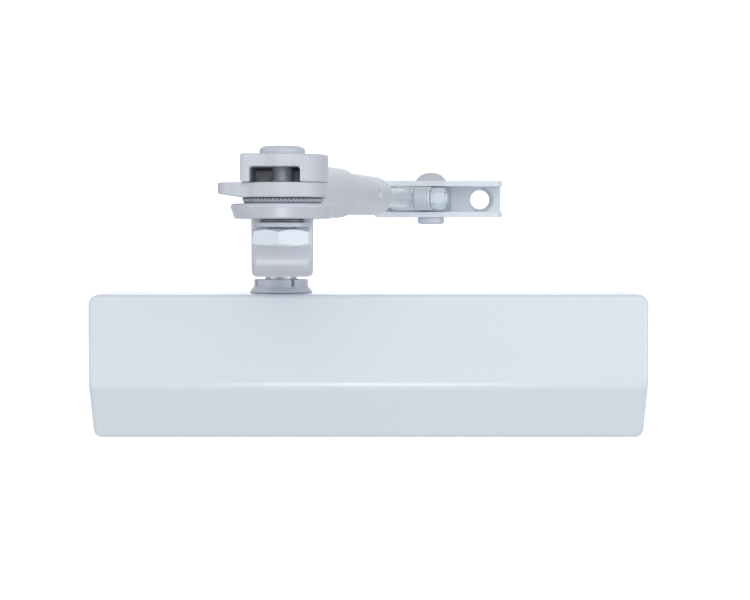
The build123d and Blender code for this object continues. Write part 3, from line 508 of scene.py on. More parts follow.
def painted(
    name, colour, gloss, peel_size, peel_depth, metallic=0.3, corner_high=0.58, corner_highlight_gain=0.35, coat=0.0
):
    """Silver paint: flake in its colour, peel in its surface, lighter corners as painted highlight and wear,
    darker hollows as painted shade, and any clear coat.
    """
    material, nodes, shader = blank_material(name, metallic, gloss)
    shader.inputs["Specular IOR Level"].default_value = 0.35
    shader.inputs["Coat Weight"].default_value = coat
    shader.inputs["Coat Roughness"].default_value = 0.14
    skin = placed_group(nodes, "paint_skin", peel_size=peel_size)
    wear = placed_group(nodes, "wear_shade_and_highlight", high=corner_high)
    sparkle = ranged(nodes, skin.outputs["Sparkle"], 0.0, 1.0, 0.38, 0.66)
    patches = ranged(nodes, wear.outputs["Patches"], 0.0, 0.5)
    # Corners are lightened as painted highlight and wear; hollows are darkened as painted shade.
    corner = ranged(nodes, wear.outputs["Edge"], 0.0, corner_highlight_gain, 0.0, 1.0)
    hollow_shade = ranged(nodes, wear.outputs["Hollow Shade"], 0.0, 0.4, 0.0, 1.0)
    parts = [
        (sparkle, scaled(colour, 1.06)),
        (patches, scaled(colour, 0.97)),
        (corner, scaled(colour, 1.24)),
        (hollow_shade, scaled(colour, 0.72)),
    ]
    tint(nodes, shader, colour, parts)
    nodes.link(ranged(nodes, wear.outputs["Patches"], gloss - 0.05, gloss + 0.06), shader.inputs["Roughness"])
    bumped(nodes, shader, skin.outputs["Height"], 0.5, peel_depth)
    return material


def machined(name, colour, gloss, along, depth, metallic=1.0, dark=0.6):
    """Bare metal with tool lines, darker hollows as painted shade and brighter corners as painted highlight and
    wear.
    """
    material, nodes, shader = blank_material(name, metallic, gloss)
    lines = placed_group(nodes, "tool_lines", along_x=along[0], along_y=along[1], along_z=along[2])
    wear = placed_group(nodes, "wear_shade_and_highlight", patch_size=60.0)
    streaks = ranged(nodes, lines.outputs["Lines"], 0.0, 0.7)
    patches = ranged(nodes, wear.outputs["Patches"], 0.0, 0.6)
    # Hollows are darkened by the factor dark as painted shade; corners are lightened as painted highlight and
    # wear.
    hollow_shade = ranged(nodes, wear.outputs["Hollow Shade"], 0.0, 0.7, 0.0, 1.0)
    parts = [
        (streaks, scaled(colour, 0.88)),
        (patches, scaled(colour, 1.08)),
        (wear.outputs["Edge"], scaled(colour, 1.15)),
        (hollow_shade, scaled(colour, dark)),
    ]
    tint(nodes, shader, colour, parts)
    nodes.link(ranged(nodes, lines.outputs["Lines"], gloss - 0.06, gloss + 0.1), shader.inputs["Roughness"])
    bumped(nodes, shader, lines.outputs["Lines"], 0.35, depth)
    return material


def moulded(name, colour, gloss, grain_size, depth):
    """Rubber or plastic with a fine moulded grain, a dusty bloom and darker hollows as painted shade."""
    material, nodes, shader = blank_material(name, 0.0, gloss)
    skin = placed_group(nodes, "paint_skin", peel_size=grain_size, flake=0.6)
    wear = placed_group(nodes, "wear_shade_and_highlight", patch_size=45.0)
    bloom = ranged(nodes, wear.outputs["Patches"], 0.0, 0.8, 0.4, 0.75)
    # The bloom is lighter patches; hollows are darkened as painted shade.
    tint(nodes, shader, colour, [(bloom, scaled(colour, 1.35)), (wear.outputs["Hollow Shade"], scaled(colour, 0.6))])
    nodes.link(ranged(nodes, wear.outputs["Patches"], gloss - 0.08, gloss + 0.08), shader.inputs["Roughness"])
    bumped(nodes, shader, skin.outputs["Height"], 0.4, depth)
    return material


def make_finish(slot):
    """The finish of one of the record's material slots."""
    colours = bpy.context.scene.closer_colours
    even = (700.0, 700.0, 700.0)
    if slot == "silver_paint":
        # The cover's corner mask starts close to flat and is strong, so its rounded ridge and edges carry a
        # painted highlight.
        return painted(slot, colours.cover_paint, 0.42, 260.0, 0.000012, 0.08, 0.515, 0.9, coat=0.5)
    if slot == "arm_paint":
        return painted(slot, colours.arm_paint, 0.42, 420.0, 0.00006)
    if slot == "bracket_paint":
        # A paler copy of the cover paint: partly the bracket's own paler finish, partly painted light that lifts
        # the shaded inside of the channel.
        return painted(slot, scaled(colours.cover_paint, 1.13)[:3], 0.42, 500.0, 0.00003, 0.2)
    if slot == "zinc_plate":
        return machined(slot, colours.zinc, 0.46, (300.0, 300.0, 1500.0), 0.000004, metallic=0.75)
    if slot == "bare_aluminium":
        return machined(slot, colours.casting, 0.48, even, 0.00008, metallic=0.85)
    if slot == "ground_steel":
        return machined(slot, (0.56, 0.57, 0.59), 0.30, (40.0, 1800.0, 1800.0), 0.00001)
    if slot == "spring_steel":
        return machined(slot, (0.20, 0.20, 0.22), 0.38, even, 0.00002)
    if slot == "bearing_bronze":
        return machined(slot, (0.62, 0.43, 0.22), 0.34, (200.0, 200.0, 1800.0), 0.00001)
    if slot == "seal_rubber":
        return moulded(slot, (0.02, 0.02, 0.022), 0.62, 900.0, 0.00002)
    if slot == "liner_nylon":
        return moulded(slot, (0.62, 0.66, 0.70), 0.45, 600.0, 0.00002)
    raise ValueError(f"no finish is made for slot {slot}")


def finish(slot):
    """The slot's material, made once."""
    return bpy.data.materials.get("finish_" + slot) or renamed(make_finish(slot), "finish_" + slot)


def renamed(block_of_data, name):
    """The same data block under another name."""
    block_of_data.name = name
    return block_of_data


# ---------------------------------------------------------------- cover


class CLOSER_OT_cover(bpy.types.Operator):
    """Cover: a moulded shell with a slanted lower face, open at the back"""

    bl_idname = "closer.cover"
    bl_label = "Cover"

    def execute(self, context):
        sizes = context.scene.closer_sizes
        low, high = span("cover")
        ridge_z = -7.7
        recess = 15.0
        notch = 12.8
        notch_reach = 6
        past_back = 4
        depth = high.y - low.y
        bm = rectangle(low.x, high.x, low.z, high.z)
        round_corners(bm, [2, 3], sizes.cover_top_corner)
        bm.verts.ensure_lookup_table()
        square = [v.index for v in bm.verts if abs(v.co.y - low.z) < NEAR and abs(abs(v.co.x) - high.x) < NEAR]
        round_corners(bm, square, sizes.cover_low_corner)
        raised(bm, 0, depth)
        spun(bm, pi / 2, "X")
        slant = Vector((0, -(ridge_z - low.z), -recess))
        sliced(bm, (0, low.y, ridge_z), slant)
        soften(bm, sizes.cover_ridge, segments=6, sharper_than=20, where=lambda p: on_ridge(p, low.y, ridge_z))
        soften(bm, sizes.cover_edge, segments=5, sharper_than=24, where=lambda p: p.y < -1)
        back = [f for f in bm.faces if all(abs(v.co.y) < 1e-3 for v in f.verts)]
        bmesh.ops.delete(bm, geom=back, context="FACES")
        shell = body_of_mesh(bm)
        wall = shell.modifiers.new("wall", "SOLIDIFY")
        wall.thickness = sizes.cover_wall
        wall.offset = -1
        wall.use_even_offset = True
        settle(shell)
        centre = PINION / MM
        under = high.z - notch_reach
        over = high.z + notch_reach
        combine(shell, drum(notch, under, over, centre=(centre.x, centre.y)), "DIFFERENCE")
        gap = block((centre.x - notch, centre.y, under), (centre.x + notch, past_back, over))
        combine(shell, gap, "DIFFERENCE")
        finish_piece(shell, "cover_shell", Matrix.Scale(MM, 4), "cover_shell", "silver_paint", ["cover"])
        return {"FINISHED"}


def on_ridge(point, front_y, height):
    """Whether a point lies on the line where the flat front meets the slanted face."""
    return abs(point.y - front_y) < NEAR and abs(point.z - height) < NEAR


# ---------------------------------------------------------------- main arm


class CLOSER_OT_main_arm(bpy.types.Operator):
    """Main arm: a forged bar that steps up to a round knuckle at the elbow"""

    bl_idname = "closer.main_arm"
    bl_label = "Main arm"

    def execute(self, context):
        sizes = context.scene.closer_sizes
        low, high = span("main_arm")
        under = 42.6
        thick = 7.5
        half_width = 10.7
        knuckle_low = 62.7
        lean = 3
        boss = 13
        boss_rise = 0.8
        square_half = 5.55
        front = ARM_REACH - 11.0
        rear = front - thick
        outline = [
            (0, under),
            (front - lean, under),
            (front, knuckle_low),
            (ARM_REACH, knuckle_low),
            (ARM_REACH, high.z),
            (rear, high.z),
            (rear - lean, under + thick),
            (0, under + thick),
        ]
        bm = flat_face(outline)
        round_corners(bm, [1], 6.5, segments=8)
        rounded = [((front, knuckle_low), 1.6), ((rear, high.z), 3.4), ((rear - lean, under + thick), 3.0)]
        for corner, reach in rounded:
            bm.verts.ensure_lookup_table()
            nearest = min(bm.verts, key=lambda v: (v.co.to_2d() - Vector(corner)).length)
            round_corners(bm, [nearest.index], reach)
        raised(bm, -half_width, half_width)
        spun(bm, pi / 2, "X")
        soften(bm, sizes.forged_edge, segments=1, sharper_than=60)
        bar = body_of_mesh(bm)
        knuckle = [(0, knuckle_low), (16.2, knuckle_low), (17.6, high.z - 0.8), (17.1, high.z), (0, high.z)]
        disc = turned(knuckle, sizes.round_steps, closed=False)
        bmesh.ops.translate(disc, verts=disc.verts, vec=(ARM_REACH, 0, 0))
        combine(bar, disc, "UNION")
        combine(bar, drum(boss, low.z, under + thick + boss_rise), "UNION")
        combine(bar, drum(STUD_HOLE, knuckle_low - 5, high.z + 5, centre=(ARM_REACH, 0)), "DIFFERENCE")
        square = block((-square_half, -square_half, low.z - 5), (square_half, square_half, high.z))
        combine(bar, square, "DIFFERENCE")
        cast(bar, sizes.cast_voxel, 3)
        placing = axes_at(PINION, ARM_DIRECTION)
        finish_piece(bar, "main_arm_forging", placing, "main_arm_group", "arm_paint", ["main_arm"], flats=False)
        return {"FINISHED"}


# ---------------------------------------------------------------- elbow


def ring_piece(sizes, name, node, body, slot, bore, segments=2):
    """A plain turned ring with eased corners, sized from its CAD node."""
    low, high = span(node)
    outer = (high.x - low.x) / 2
    bm = turned([(bore, low.z), (outer, low.z), (outer, high.z), (bore, high.z)], sizes.round_steps)
    soften(bm, sizes.machined_edge, segments)
    centre = (low + high) / 2 * MM
    return finish_piece(body_of_mesh(bm), name, axes_at((centre.x, centre.y, 0)), body, slot, [node])


class CLOSER_OT_elbow(bpy.types.Operator):
    """Elbow: stud, clamp nut, washers, serrated stop ring and stop plate"""

    bl_idname = "closer.elbow"
    bl_label = "Elbow"

    def execute(self, context):
        sizes = context.scene.closer_sizes
        self.stud(sizes)
        self.nut()
        body = "main_arm_group"
        ring_piece(sizes, "elbow_flat_washer", "elbow_washer", body, "arm_paint", STUD_HOLE)
        ring_piece(sizes, "elbow_lock_washer", "elbow_spring_washer", body, "spring_steel", STUD_HOLE)
        self.ring(sizes)
        self.plate(sizes)
        return {"FINISHED"}

    def stud(self, sizes):
        """Stepped stud with a flat domed head and a threaded lower end."""
        low, high = span("elbow_stud")
        head = high.z - 2.9
        neck = 3.5
        shank = 5.0
        thread_root = 4.55
        thread_start = 62.6
        pitch = 1.25
        profile = [(0, high.z), (5.6, high.z), (6.9, high.z - 0.25), (7.75, high.z - 1.15), (7.75, head)]
        profile += [(neck, head), (neck, 75.8), (3.9, FOREARM_SEAT), (shank, 74.85), (shank, thread_start)]
        height = 62.0
        while height - pitch > low.z + 0.4:
            profile += [(shank, height), (thread_root, height - pitch / 2)]
            height -= pitch
        profile += [(4.4, low.z), (0, low.z)]
        bm = turned(profile, sizes.round_steps, closed=False)
        soften(bm, 0.35, 3, where=lambda p: p.z > head - 0.5)
        piece = body_of_mesh(bm)
        placing = upright_at("elbow_turn")
        finish_piece(piece, "elbow_pivot_stud", placing, "main_arm_group", "arm_paint", ["elbow_stud"])

    def nut(self):
        """Hexagon nut with rounded corners at both ends."""
        low, high = span("elbow_nut")
        flat = 9.5
        face = flat - 0.4
        slope = 1.0
        nut = body_of_mesh(hexagon(flat, low.z, high.z, radians(-95)))
        corner = flat / cos(pi / 6)
        profile = [(0, low.z), (face, low.z), (corner, low.z + slope)]
        profile += [(corner, high.z - slope), (face, high.z), (0, high.z)]
        combine(nut, turned(profile, 96, closed=False), "INTERSECT")
        combine(nut, drum(STUD_HOLE, low.z - 2, high.z + 2), "DIFFERENCE")
        ease_edges(nut, 0.18, 24)
        finish_piece(nut, "elbow_clamp_nut", upright_at("elbow_turn"), "clamp_nut", "zinc_plate", ["elbow_nut"])

    def ring(self, sizes):
        """Stop ring: fine teeth round its upper rim over a plain step."""
        low, high = span("stop_ring")
        teeth = sizes.ring_teeth
        outer = 13.5
        rim = 13.1
        tooth_depth = 0.6
        sink = 0.05
        step = low.z + 1.0
        bm = turned([(STUD_HOLE, low.z), (rim, low.z), (rim, step), (STUD_HOLE, step)], teeth * 2)
        crown = bmesh.new()
        bmesh.ops.create_circle(crown, cap_ends=True, radius=outer, segments=teeth * 4)
        crown.verts.ensure_lookup_table()
        for i, vert in enumerate(crown.verts):
            if i % 4 in (2, 3):
                vert.co *= (outer - tooth_depth) / outer
        raised(crown, step - sink, high.z)
        ring = body_of_mesh(bm)
        combine(ring, crown, "UNION")
        combine(ring, drum(STUD_HOLE, low.z - 1, high.z + 1), "DIFFERENCE")
        placing = upright_at("elbow_turn")
        finish_piece(ring, "serrated_stop_ring", placing, "stop_ring_body", "arm_paint", ["stop_ring"])

    def plate(self, sizes):
        """Stop plate: thick disc with a thinner lobe to the left."""
        low, high = span("stop_plate")
        lobe_left = -21.6
        lobe_right = 0.4
        lobe_half = 11
        thin_left = -12.5
        disc = body_of_mesh(drum(15.3, low.z, high.z, steps=96))
        lobe = rectangle(lobe_left, lobe_right, -lobe_half, lobe_half)
        round_corners(lobe, [0, 3], 7, segments=10)
        combine(disc, raised(lobe, low.z, high.z), "UNION")
        under = bmesh.new()
        wedge = [(-23, low.z - 1), (thin_left, low.z - 1), (thin_left, low.z), (-23, low.z + 1.5)]
        under.faces.new([under.verts.new((x, 20, z)) for x, z in wedge])
        grown = bmesh.ops.extrude_face_region(under, geom=under.faces[:])
        moved = [v for v in grown["geom"] if isinstance(v, bmesh.types.BMVert)]
        bmesh.ops.translate(under, verts=moved, vec=(0, -40, 0))
        bmesh.ops.recalc_face_normals(under, faces=under.faces)
        combine(disc, under, "DIFFERENCE")
        combine(disc, drum(STUD_HOLE, low.z - 1, high.z + 1), "DIFFERENCE")
        cast(disc, sizes.cast_voxel * 0.6, 3)
        placing = upright_at("elbow_turn")
        replaced = ["stop_plate"]
        finish_piece(disc, "stop_plate_casting", placing, "forearm_group", "arm_paint", replaced, flats=False)


# ---------------------------------------------------------------- forearm


class CLOSER_OT_forearm(bpy.types.Operator):
    """Forearm: slotted head and stepped tube in one casting, with its lock screw"""

    bl_idname = "closer.forearm"
    bl_label = "Forearm"

    def execute(self, context):
        sizes = context.scene.closer_sizes
        top = span("forearm")[1].z
        head = self.head(top)
        combine(head, self.tube(sizes), "UNION")
        self.hollow(head, top)
        cast(head, sizes.cast_voxel, 3)
        self.paint_slot_shade(head)
        placing = upright_at("elbow_turn")
        finish_piece(head, "forearm_casting", placing, "forearm_group", "arm_paint", ["forearm"], flats=False)
        self.lock_screw()
        return {"FINISHED"}

    def head(self, top):
        """Round head with a flat left side and square shoulders."""
        left = -13.4
        right = 2
        half = 14.9
        beyond = 20
        head = body_of_mesh(drum(15.6, FOREARM_SEAT, top, steps=96))
        shoulder = rectangle(left, right, -half, half)
        round_corners(shoulder, [0, 3], 1.2)
        waste = block((-beyond, -beyond, FOREARM_SEAT - 2), (left, beyond, top + 2))
        combine(head, waste, "DIFFERENCE")
        combine(head, raised(shoulder, FOREARM_SEAT, top), "UNION")
        return head

    def tube(self, sizes):
        """Stepped tube with a rounded end, laid along the forearm."""
        thick = 9.4
        shoulder = 74
        end = 143
        profile = [(0, 8), (8.9, 10), (thick, 40), (thick, shoulder), (9.0, 75.2), (8.3, 77)]
        profile += [(8.1, 84), (7.9, 133), (7.4, end - 6), (6.6, end - 3), (5.0, end), (0, end)]
        tube = turned(profile, sizes.round_steps, closed=False)
        lying = FOREARM_DIRECTION.to_track_quat("Z", "Y").to_matrix().to_4x4()
        bmesh.ops.transform(tube, verts=tube.verts, matrix=Matrix.Translation((0, 0, FOREARM_HEIGHT)) @ lying)
        return tube

    def hollow(self, head, top):
        """Cuts the room under the head, its slot, and the holes for stud, rod, lock screw and detent."""
        under = FOREARM_HEIGHT - 14
        combine(head, drum(15.8, under, FOREARM_SEAT, steps=96), "DIFFERENCE")
        combine(head, drum(25.6, under, 70.3, steps=96), "DIFFERENCE")
        combine(head, block((-10.1, -20, FOREARM_SEAT - 1), (6.5, 6, FOREARM_SEAT + 5.1)), "DIFFERENCE")
        combine(head, drum(3.6, FOREARM_SEAT - 1, top + 2), "DIFFERENCE")
        middle = Vector((0, 0, FOREARM_HEIGHT))
        self.bore(head, FOREARM_DIRECTION, middle, 69.5, 160, 4.2)
        socket = middle + FOREARM_DIRECTION * LOCK_SCREW_PLACE
        self.bore(head, EYE_AXIS, socket, 2, 12, EYE_HOLE)
        place = FOREARM_DIRECTION * 9.6
        detent = drum(2.45, FOREARM_SEAT - 2, top + 2, centre=(place.x, place.y), steps=32)
        combine(head, detent, "DIFFERENCE")

    def paint_slot_shade(self, head):
        """Gives the inside of the slot the dark spring-steel finish as painted shade, where the deep slot falls
        dark.
        """
        left, right = -9.7, 6.1
        front, back = -9.5, 8
        roof = FOREARM_SEAT + 4.7
        head.data.materials.append(finish("arm_paint"))
        head.data.materials.append(finish("spring_steel"))
        for face in head.data.polygons:
            at = face.center
            inside = left < at.x < right and front < at.y < back and FOREARM_SEAT < at.z < roof
            face.material_index = 1 if inside else 0

    def bore(self, piece, direction, start, low, high, radius):
        """Cuts a round hole along a direction."""
        hole = drum(radius, low, high, steps=48)
        turn = direction.to_track_quat("Z", "Y").to_matrix().to_4x4()
        bmesh.ops.transform(hole, verts=hole.verts, matrix=Matrix.Translation(start) @ turn)
        combine(piece, hole, "DIFFERENCE")

    def lock_screw(self):
        """Socket set screw that holds the rod at its length."""
        radius = 2.5
        tip = 4.4
        end = 6.9
        profile = [(0, tip), (2.3, tip), (radius, 4.7), (radius, 6.7), (2.2, end), (0, end)]
        screw = body_of_mesh(turned(profile, 40, closed=False))
        combine(screw, hexagon(1.25, 5.2, 9), "DIFFERENCE")
        place = ELBOW + UP * EYE.z + FOREARM_DIRECTION * LOCK_SCREW_PLACE * MM
        placing = axes_at(place, UP, EYE_AXIS)
        finish_piece(screw, "rod_set_screw", placing, "lock_screw", "zinc_plate", ["rod_lock_screw"])


# ---------------------------------------------------------------- rod, swivel and bracket


class CLOSER_OT_rod(bpy.types.Operator):
    """Adjusting rod with its eye, swivel, eye bolt, washers and nut"""

    bl_idname = "closer.rod"
    bl_label = "Rod and swivel"

    def execute(self, context):
        sizes = context.scene.closer_sizes
        across = axes_at(EYE, UP, EYE_AXIS)
        self.rod(sizes)
        self.swivel()
        self.bolt(across)
        self.washers(across)
        self.nut(across)
        return {"FINISHED"}

    def rod(self, sizes):
        """Round rod that swells into an eye, modelled along Z with the eye at the origin."""
        rod_low = 84 - FOREARM_REACH
        radius = 4
        eye_radius = 5.2
        eye_half = 4.1
        profile = [(0, rod_low), (3.5, rod_low), (radius, rod_low + 0.6), (radius, 0), (0, 0)]
        rod = body_of_mesh(turned(profile, sizes.round_steps, closed=False))
        eye = drum(eye_radius, -eye_half, eye_half, steps=64)
        spun(eye, pi / 2, "Y")
        combine(rod, eye, "UNION")
        hole = drum(EYE_HOLE, -8, 8, steps=40)
        spun(hole, pi / 2, "Y")
        combine(rod, hole, "DIFFERENCE")
        cast(rod, 0.35, 3)
        placing = axes_at(EYE, EYE_AXIS, FOREARM_DIRECTION)
        replaced = ["adjusting_rod"]
        finish_piece(rod, "adjusting_rod_and_eye", placing, "rod_group", "zinc_plate", replaced, flats=False)

    def swivel(self):
        """Block that turns on the rivet, with a rounded lug for the eye bolt."""
        low, high = span("swivel_block")
        middle = FOREARM_HEIGHT
        reach = (RIVET - EYE).dot(FOREARM_DIRECTION) / MM
        near = RIVET_OFFSET - 4.2
        far = RIVET_OFFSET + 1.6
        lug_radius = 5.2
        post = body_of_mesh(drum(6.2, low.z - middle, high.z - middle))
        post.data.transform(Matrix.Translation((RIVET_OFFSET, reach, 0)))
        lug = drum(lug_radius, near, far, steps=64)
        spun(lug, pi / 2, "Y")
        combine(post, lug, "UNION")
        combine(post, block((near, 0, -lug_radius), (far, reach, lug_radius)), "UNION")
        combine(post, drum(RIVET_HOLE, -12, 12, centre=(RIVET_OFFSET, reach)), "DIFFERENCE")
        cast(post, 0.3, 3)
        placing = axes_at(EYE, EYE_AXIS)
        finish_piece(post, "swivel_body", placing, "swivel_group", "arm_paint", ["swivel_block"], flats=False)

    def bolt(self, across):
        """Hexagon bolt through the eye and the lug."""
        start = -7.4
        shank = 2.5
        corner = 4.7
        under_head = start + 3.2
        bolt = body_of_mesh(hexagon(4.0, start, under_head, radians(15)))
        profile = [(0, start), (3.7, start), (corner, start + 0.7), (corner, under_head), (0, under_head)]
        combine(bolt, turned(profile, 64, closed=False), "INTERSECT")
        end = RIVET_OFFSET + 10.2
        profile = [(0, start + 1), (shank, start + 1), (shank, end - 0.7), (1.9, end), (0, end)]
        combine(bolt, turned(profile, 48, closed=False), "UNION")
        finish_piece(bolt, "eye_hex_bolt", across, "swivel_group", "zinc_plate", ["eye_bolt"])

    def washers(self, across):
        """Flat washer and lock washer under the eye nut."""
        start = RIVET_OFFSET + 1.65
        thick = 1.3
        flat = self.washer(5, start, start + thick)
        lock = self.washer(4.3, start + 1.5, start + 2.8)
        washers = body_of_mesh(flat)
        combine(washers, lock, "UNION")
        finish_piece(washers, "eye_washer_pair", across, "swivel_group", "zinc_plate", ["eye_washers"])

    def washer(self, outer, low, high):
        """One washer with eased corners."""
        bm = turned([(EYE_HOLE, low), (outer, low), (outer, high), (EYE_HOLE, high)], 64)
        soften(bm, 0.15)
        return bm

    def nut(self, across):
        """Hexagon nut whose outer end is domed."""
        start = RIVET_OFFSET + 4.55
        end = start + 4.6
        corner = 4.7
        nut = body_of_mesh(hexagon(4.0, start, end))
        profile = [(0, start), (4.3, start), (corner, start + 0.4), (corner, start + 3.7), (3.8, end), (0, end)]
        combine(nut, turned(profile, 64, closed=False), "INTERSECT")
        combine(nut, drum(2.5, start - 1, start + 6, steps=40), "DIFFERENCE")
        finish_piece(nut, "eye_hex_nut", across, "swivel_group", "zinc_plate", ["eye_nut"])


class CLOSER_OT_bracket(bpy.types.Operator):
    """Frame bracket: a pressed channel with countersunk holes, and its rivet"""

    bl_idname = "closer.bracket"
    bl_label = "Bracket"

    def execute(self, context):
        sizes = context.scene.closer_sizes
        low, high = span("bracket")
        wall = 2.4
        section = [
            (0, low.z),
            (low.y, low.z),
            (low.y, low.z + wall),
            (-wall, low.z + wall),
            (-wall, high.z - wall),
            (low.y, high.z - wall),
            (low.y, high.z),
            (0, high.z),
        ]
        bm = flat_face(section)
        round_corners(bm, [0, 7], 1.2, segments=5)
        raised(bm, low.x, high.x)
        stand = Matrix(((0, 0, 1), (1, 0, 0), (0, 1, 0)))
        bmesh.ops.transform(bm, verts=bm.verts, matrix=stand.to_4x4())
        bmesh.ops.recalc_face_normals(bm, faces=bm.faces)
        channel = body_of_mesh(bm)
        plan = rectangle(low.x, high.x, low.y, 1)
        round_corners(plan, [0, 1], 5, segments=10)
        combine(channel, raised(plan, low.z - 2, high.z + 2), "INTERSECT")
        front = rectangle(low.x, high.x, low.z, high.z)
        round_corners(front, [0, 1, 2, 3], 1.1, segments=4)
        raised(front, -2, 30)
        spun(front, pi / 2, "X")
        combine(channel, front, "INTERSECT")
        middle = (low + high) / 2
        screw_hole = 4.25
        sink = 6.2
        screw_step = 19.1
        for side in (-1, 1):
            profile = [(0, -1), (screw_hole, -1), (screw_hole, wall - 1.7)]
            profile += [(sink, wall + 0.25), (sink, 4), (0, 4)]
            hole = turned(profile, 64, closed=False)
            spun(hole, pi / 2, "X")
            bmesh.ops.translate(hole, verts=hole.verts, vec=(middle.x + side * screw_step, 0, middle.z))
            combine(channel, hole, "DIFFERENCE")
        place = (RIVET.x / MM, RIVET.y / MM)
        combine(channel, drum(RIVET_HOLE, low.z - 2, high.z + 2, centre=place), "DIFFERENCE")
        ease_edges(channel, sizes.machined_edge, 40)
        placing = Matrix.Scale(MM, 4)
        finish_piece(channel, "frame_channel", placing, "bracket_group", "bracket_paint", ["bracket"])
        self.rivet(sizes, low, high)
        return {"FINISHED"}

    def rivet(self, sizes, low, high):
        """Domed rivet through both flanges, turned over at its lower end."""
        foot, crown = span("pivot_rivet")
        gap = 0.05
        shank = 3.2
        brim = 6.75
        foot_radius = 5.9
        above = high.z + gap
        below = low.z - gap
        profile = [(0, crown.z), (2.6, crown.z - 0.35), (4.8, crown.z - 1.35), (6.2, crown.z - 2.8)]
        profile += [(brim, high.z + 0.4), (brim, above), (shank, above), (shank, below), (foot_radius, below)]
        profile += [(foot_radius, foot.z + 0.8), (5.2, foot.z + 0.15), (4.4, foot.z), (0, foot.z)]
        bm = turned(profile, sizes.round_steps, closed=False)
        soften(bm, 0.2)
        placing = axes_at((RIVET.x, RIVET.y, 0))
        finish_piece(body_of_mesh(bm), "bracket_rivet", placing, "bracket_group", "arm_paint", ["pivot_rivet"])


# ---------------------------------------------------------------- pinion top


class CLOSER_OT_pinion_top(bpy.types.Operator):
    """Collar round the pinion, and the screw and washer on the main arm"""

    bl_idname = "closer.pinion_top"
    bl_label = "Pinion top"

    def execute(self, context):
        sizes = context.scene.closer_sizes
        self.collar(sizes)
        ring_piece(sizes, "arm_flat_washer", "arm_washer", "main_arm_group", "zinc_plate", 3.6)
        self.screw(sizes)
        return {"FINISHED"}

    def collar(self, sizes):
        """Collar with a flange on the cover and four spanner notches."""
        low, high = span("pinion_cap")
        cover_top = span("cover")[1].z
        seat = cover_top + 0.15
        body = 12.45
        flange = 13.6
        crown = 11.85
        inner = 10
        hole = 7.4
        roof = 33
        notch_half = 0.6
        first_turn = radians(-62)
        profile = [(inner, low.z), (body, low.z), (body, seat), (flange, seat), (flange, cover_top + 0.8)]
        profile += [(12.5, cover_top + 2.3), (crown, cover_top + 2.9), (crown, high.z)]
        profile += [(hole, high.z), (hole, roof), (inner, roof)]
        bm = turned(profile, sizes.round_steps)
        soften(bm, 0.35, 3, where=lambda p: p.z > high.z - 0.2)
        collar = body_of_mesh(bm)
        for quarter in range(4):
            notch = block((9.9, -notch_half, high.z - 3), (16, notch_half, high.z + 2))
            spun(notch, first_turn + quarter * pi / 2, "Z")
            combine(collar, notch, "DIFFERENCE")
        placing = upright_at("pinion_turn")
        finish_piece(collar, "pinion_collar", placing, "closer_body", "arm_paint", ["pinion_cap"])

    def screw(self, sizes):
        """Socket screw that holds the main arm on the pinion."""
        low, high = span("arm_screw")
        head = high.z - 4
        head_radius = 6.8
        shank = 3.3
        profile = [(0, high.z), (5.6, high.z), (head_radius, high.z - 1.3), (head_radius, head)]
        profile += [(shank, head), (shank, low.z), (0, low.z)]
        bm = turned(profile, sizes.round_steps, closed=False)
        soften(bm, 0.3, 3, where=lambda p: p.z > head - 0.1)
        screw = body_of_mesh(bm)
        combine(screw, hexagon(2.5, high.z - 2.6, high.z + 2), "DIFFERENCE")
        placing = upright_at("pinion_turn")
        finish_piece(screw, "arm_socket_screw", placing, "main_arm_group", "zinc_plate", ["arm_screw"])


# ---------------------------------------------------------------- pieces that keep their CAD shape


class CLOSER_OT_inner_pieces(bpy.types.Operator):
    """Finishes for the housing and all the pieces whose CAD shape is right"""

    bl_idname = "closer.inner_pieces"
    bl_label = "Inner pieces"

    def execute(self, context):
        for part in frame["record"]["subparts"]:
            obj = frame["nodes"][part["node"]]
            obj.data.materials.clear()
            obj.data.materials.append(finish(part["material_slot"]))
        return {"FINISHED"}


# ---------------------------------------------------------------- stage


# Each soft light's name, place, target, width and power in watts.
MIDDLE = (0, -0.05, 0.03)
LIGHTS = (
    ("front", (0.15, -1.7, 0.62), MIDDLE, 1.0, 3.9),
    ("key", (1.1, -1.2, 0.3), MIDDLE, 1.0, 2.0),
    ("fill", (-1.2, -1.0, 0.25), MIDDLE, 1.0, 1.2),
    ("low", (0.0, -1.0, -0.55), MIDDLE, 0.25, 1.3),
    ("left_edge", (-1.05, -0.45, -0.08), MIDDLE, 0.22, 0.25),
    ("right_edge", (1.05, -0.45, -0.08), MIDDLE, 0.22, 0.6),
    ("backdrop", (0.0, 1.0, 0.95), (0, 2.2, 0.35), 1.4, 40.0),
)


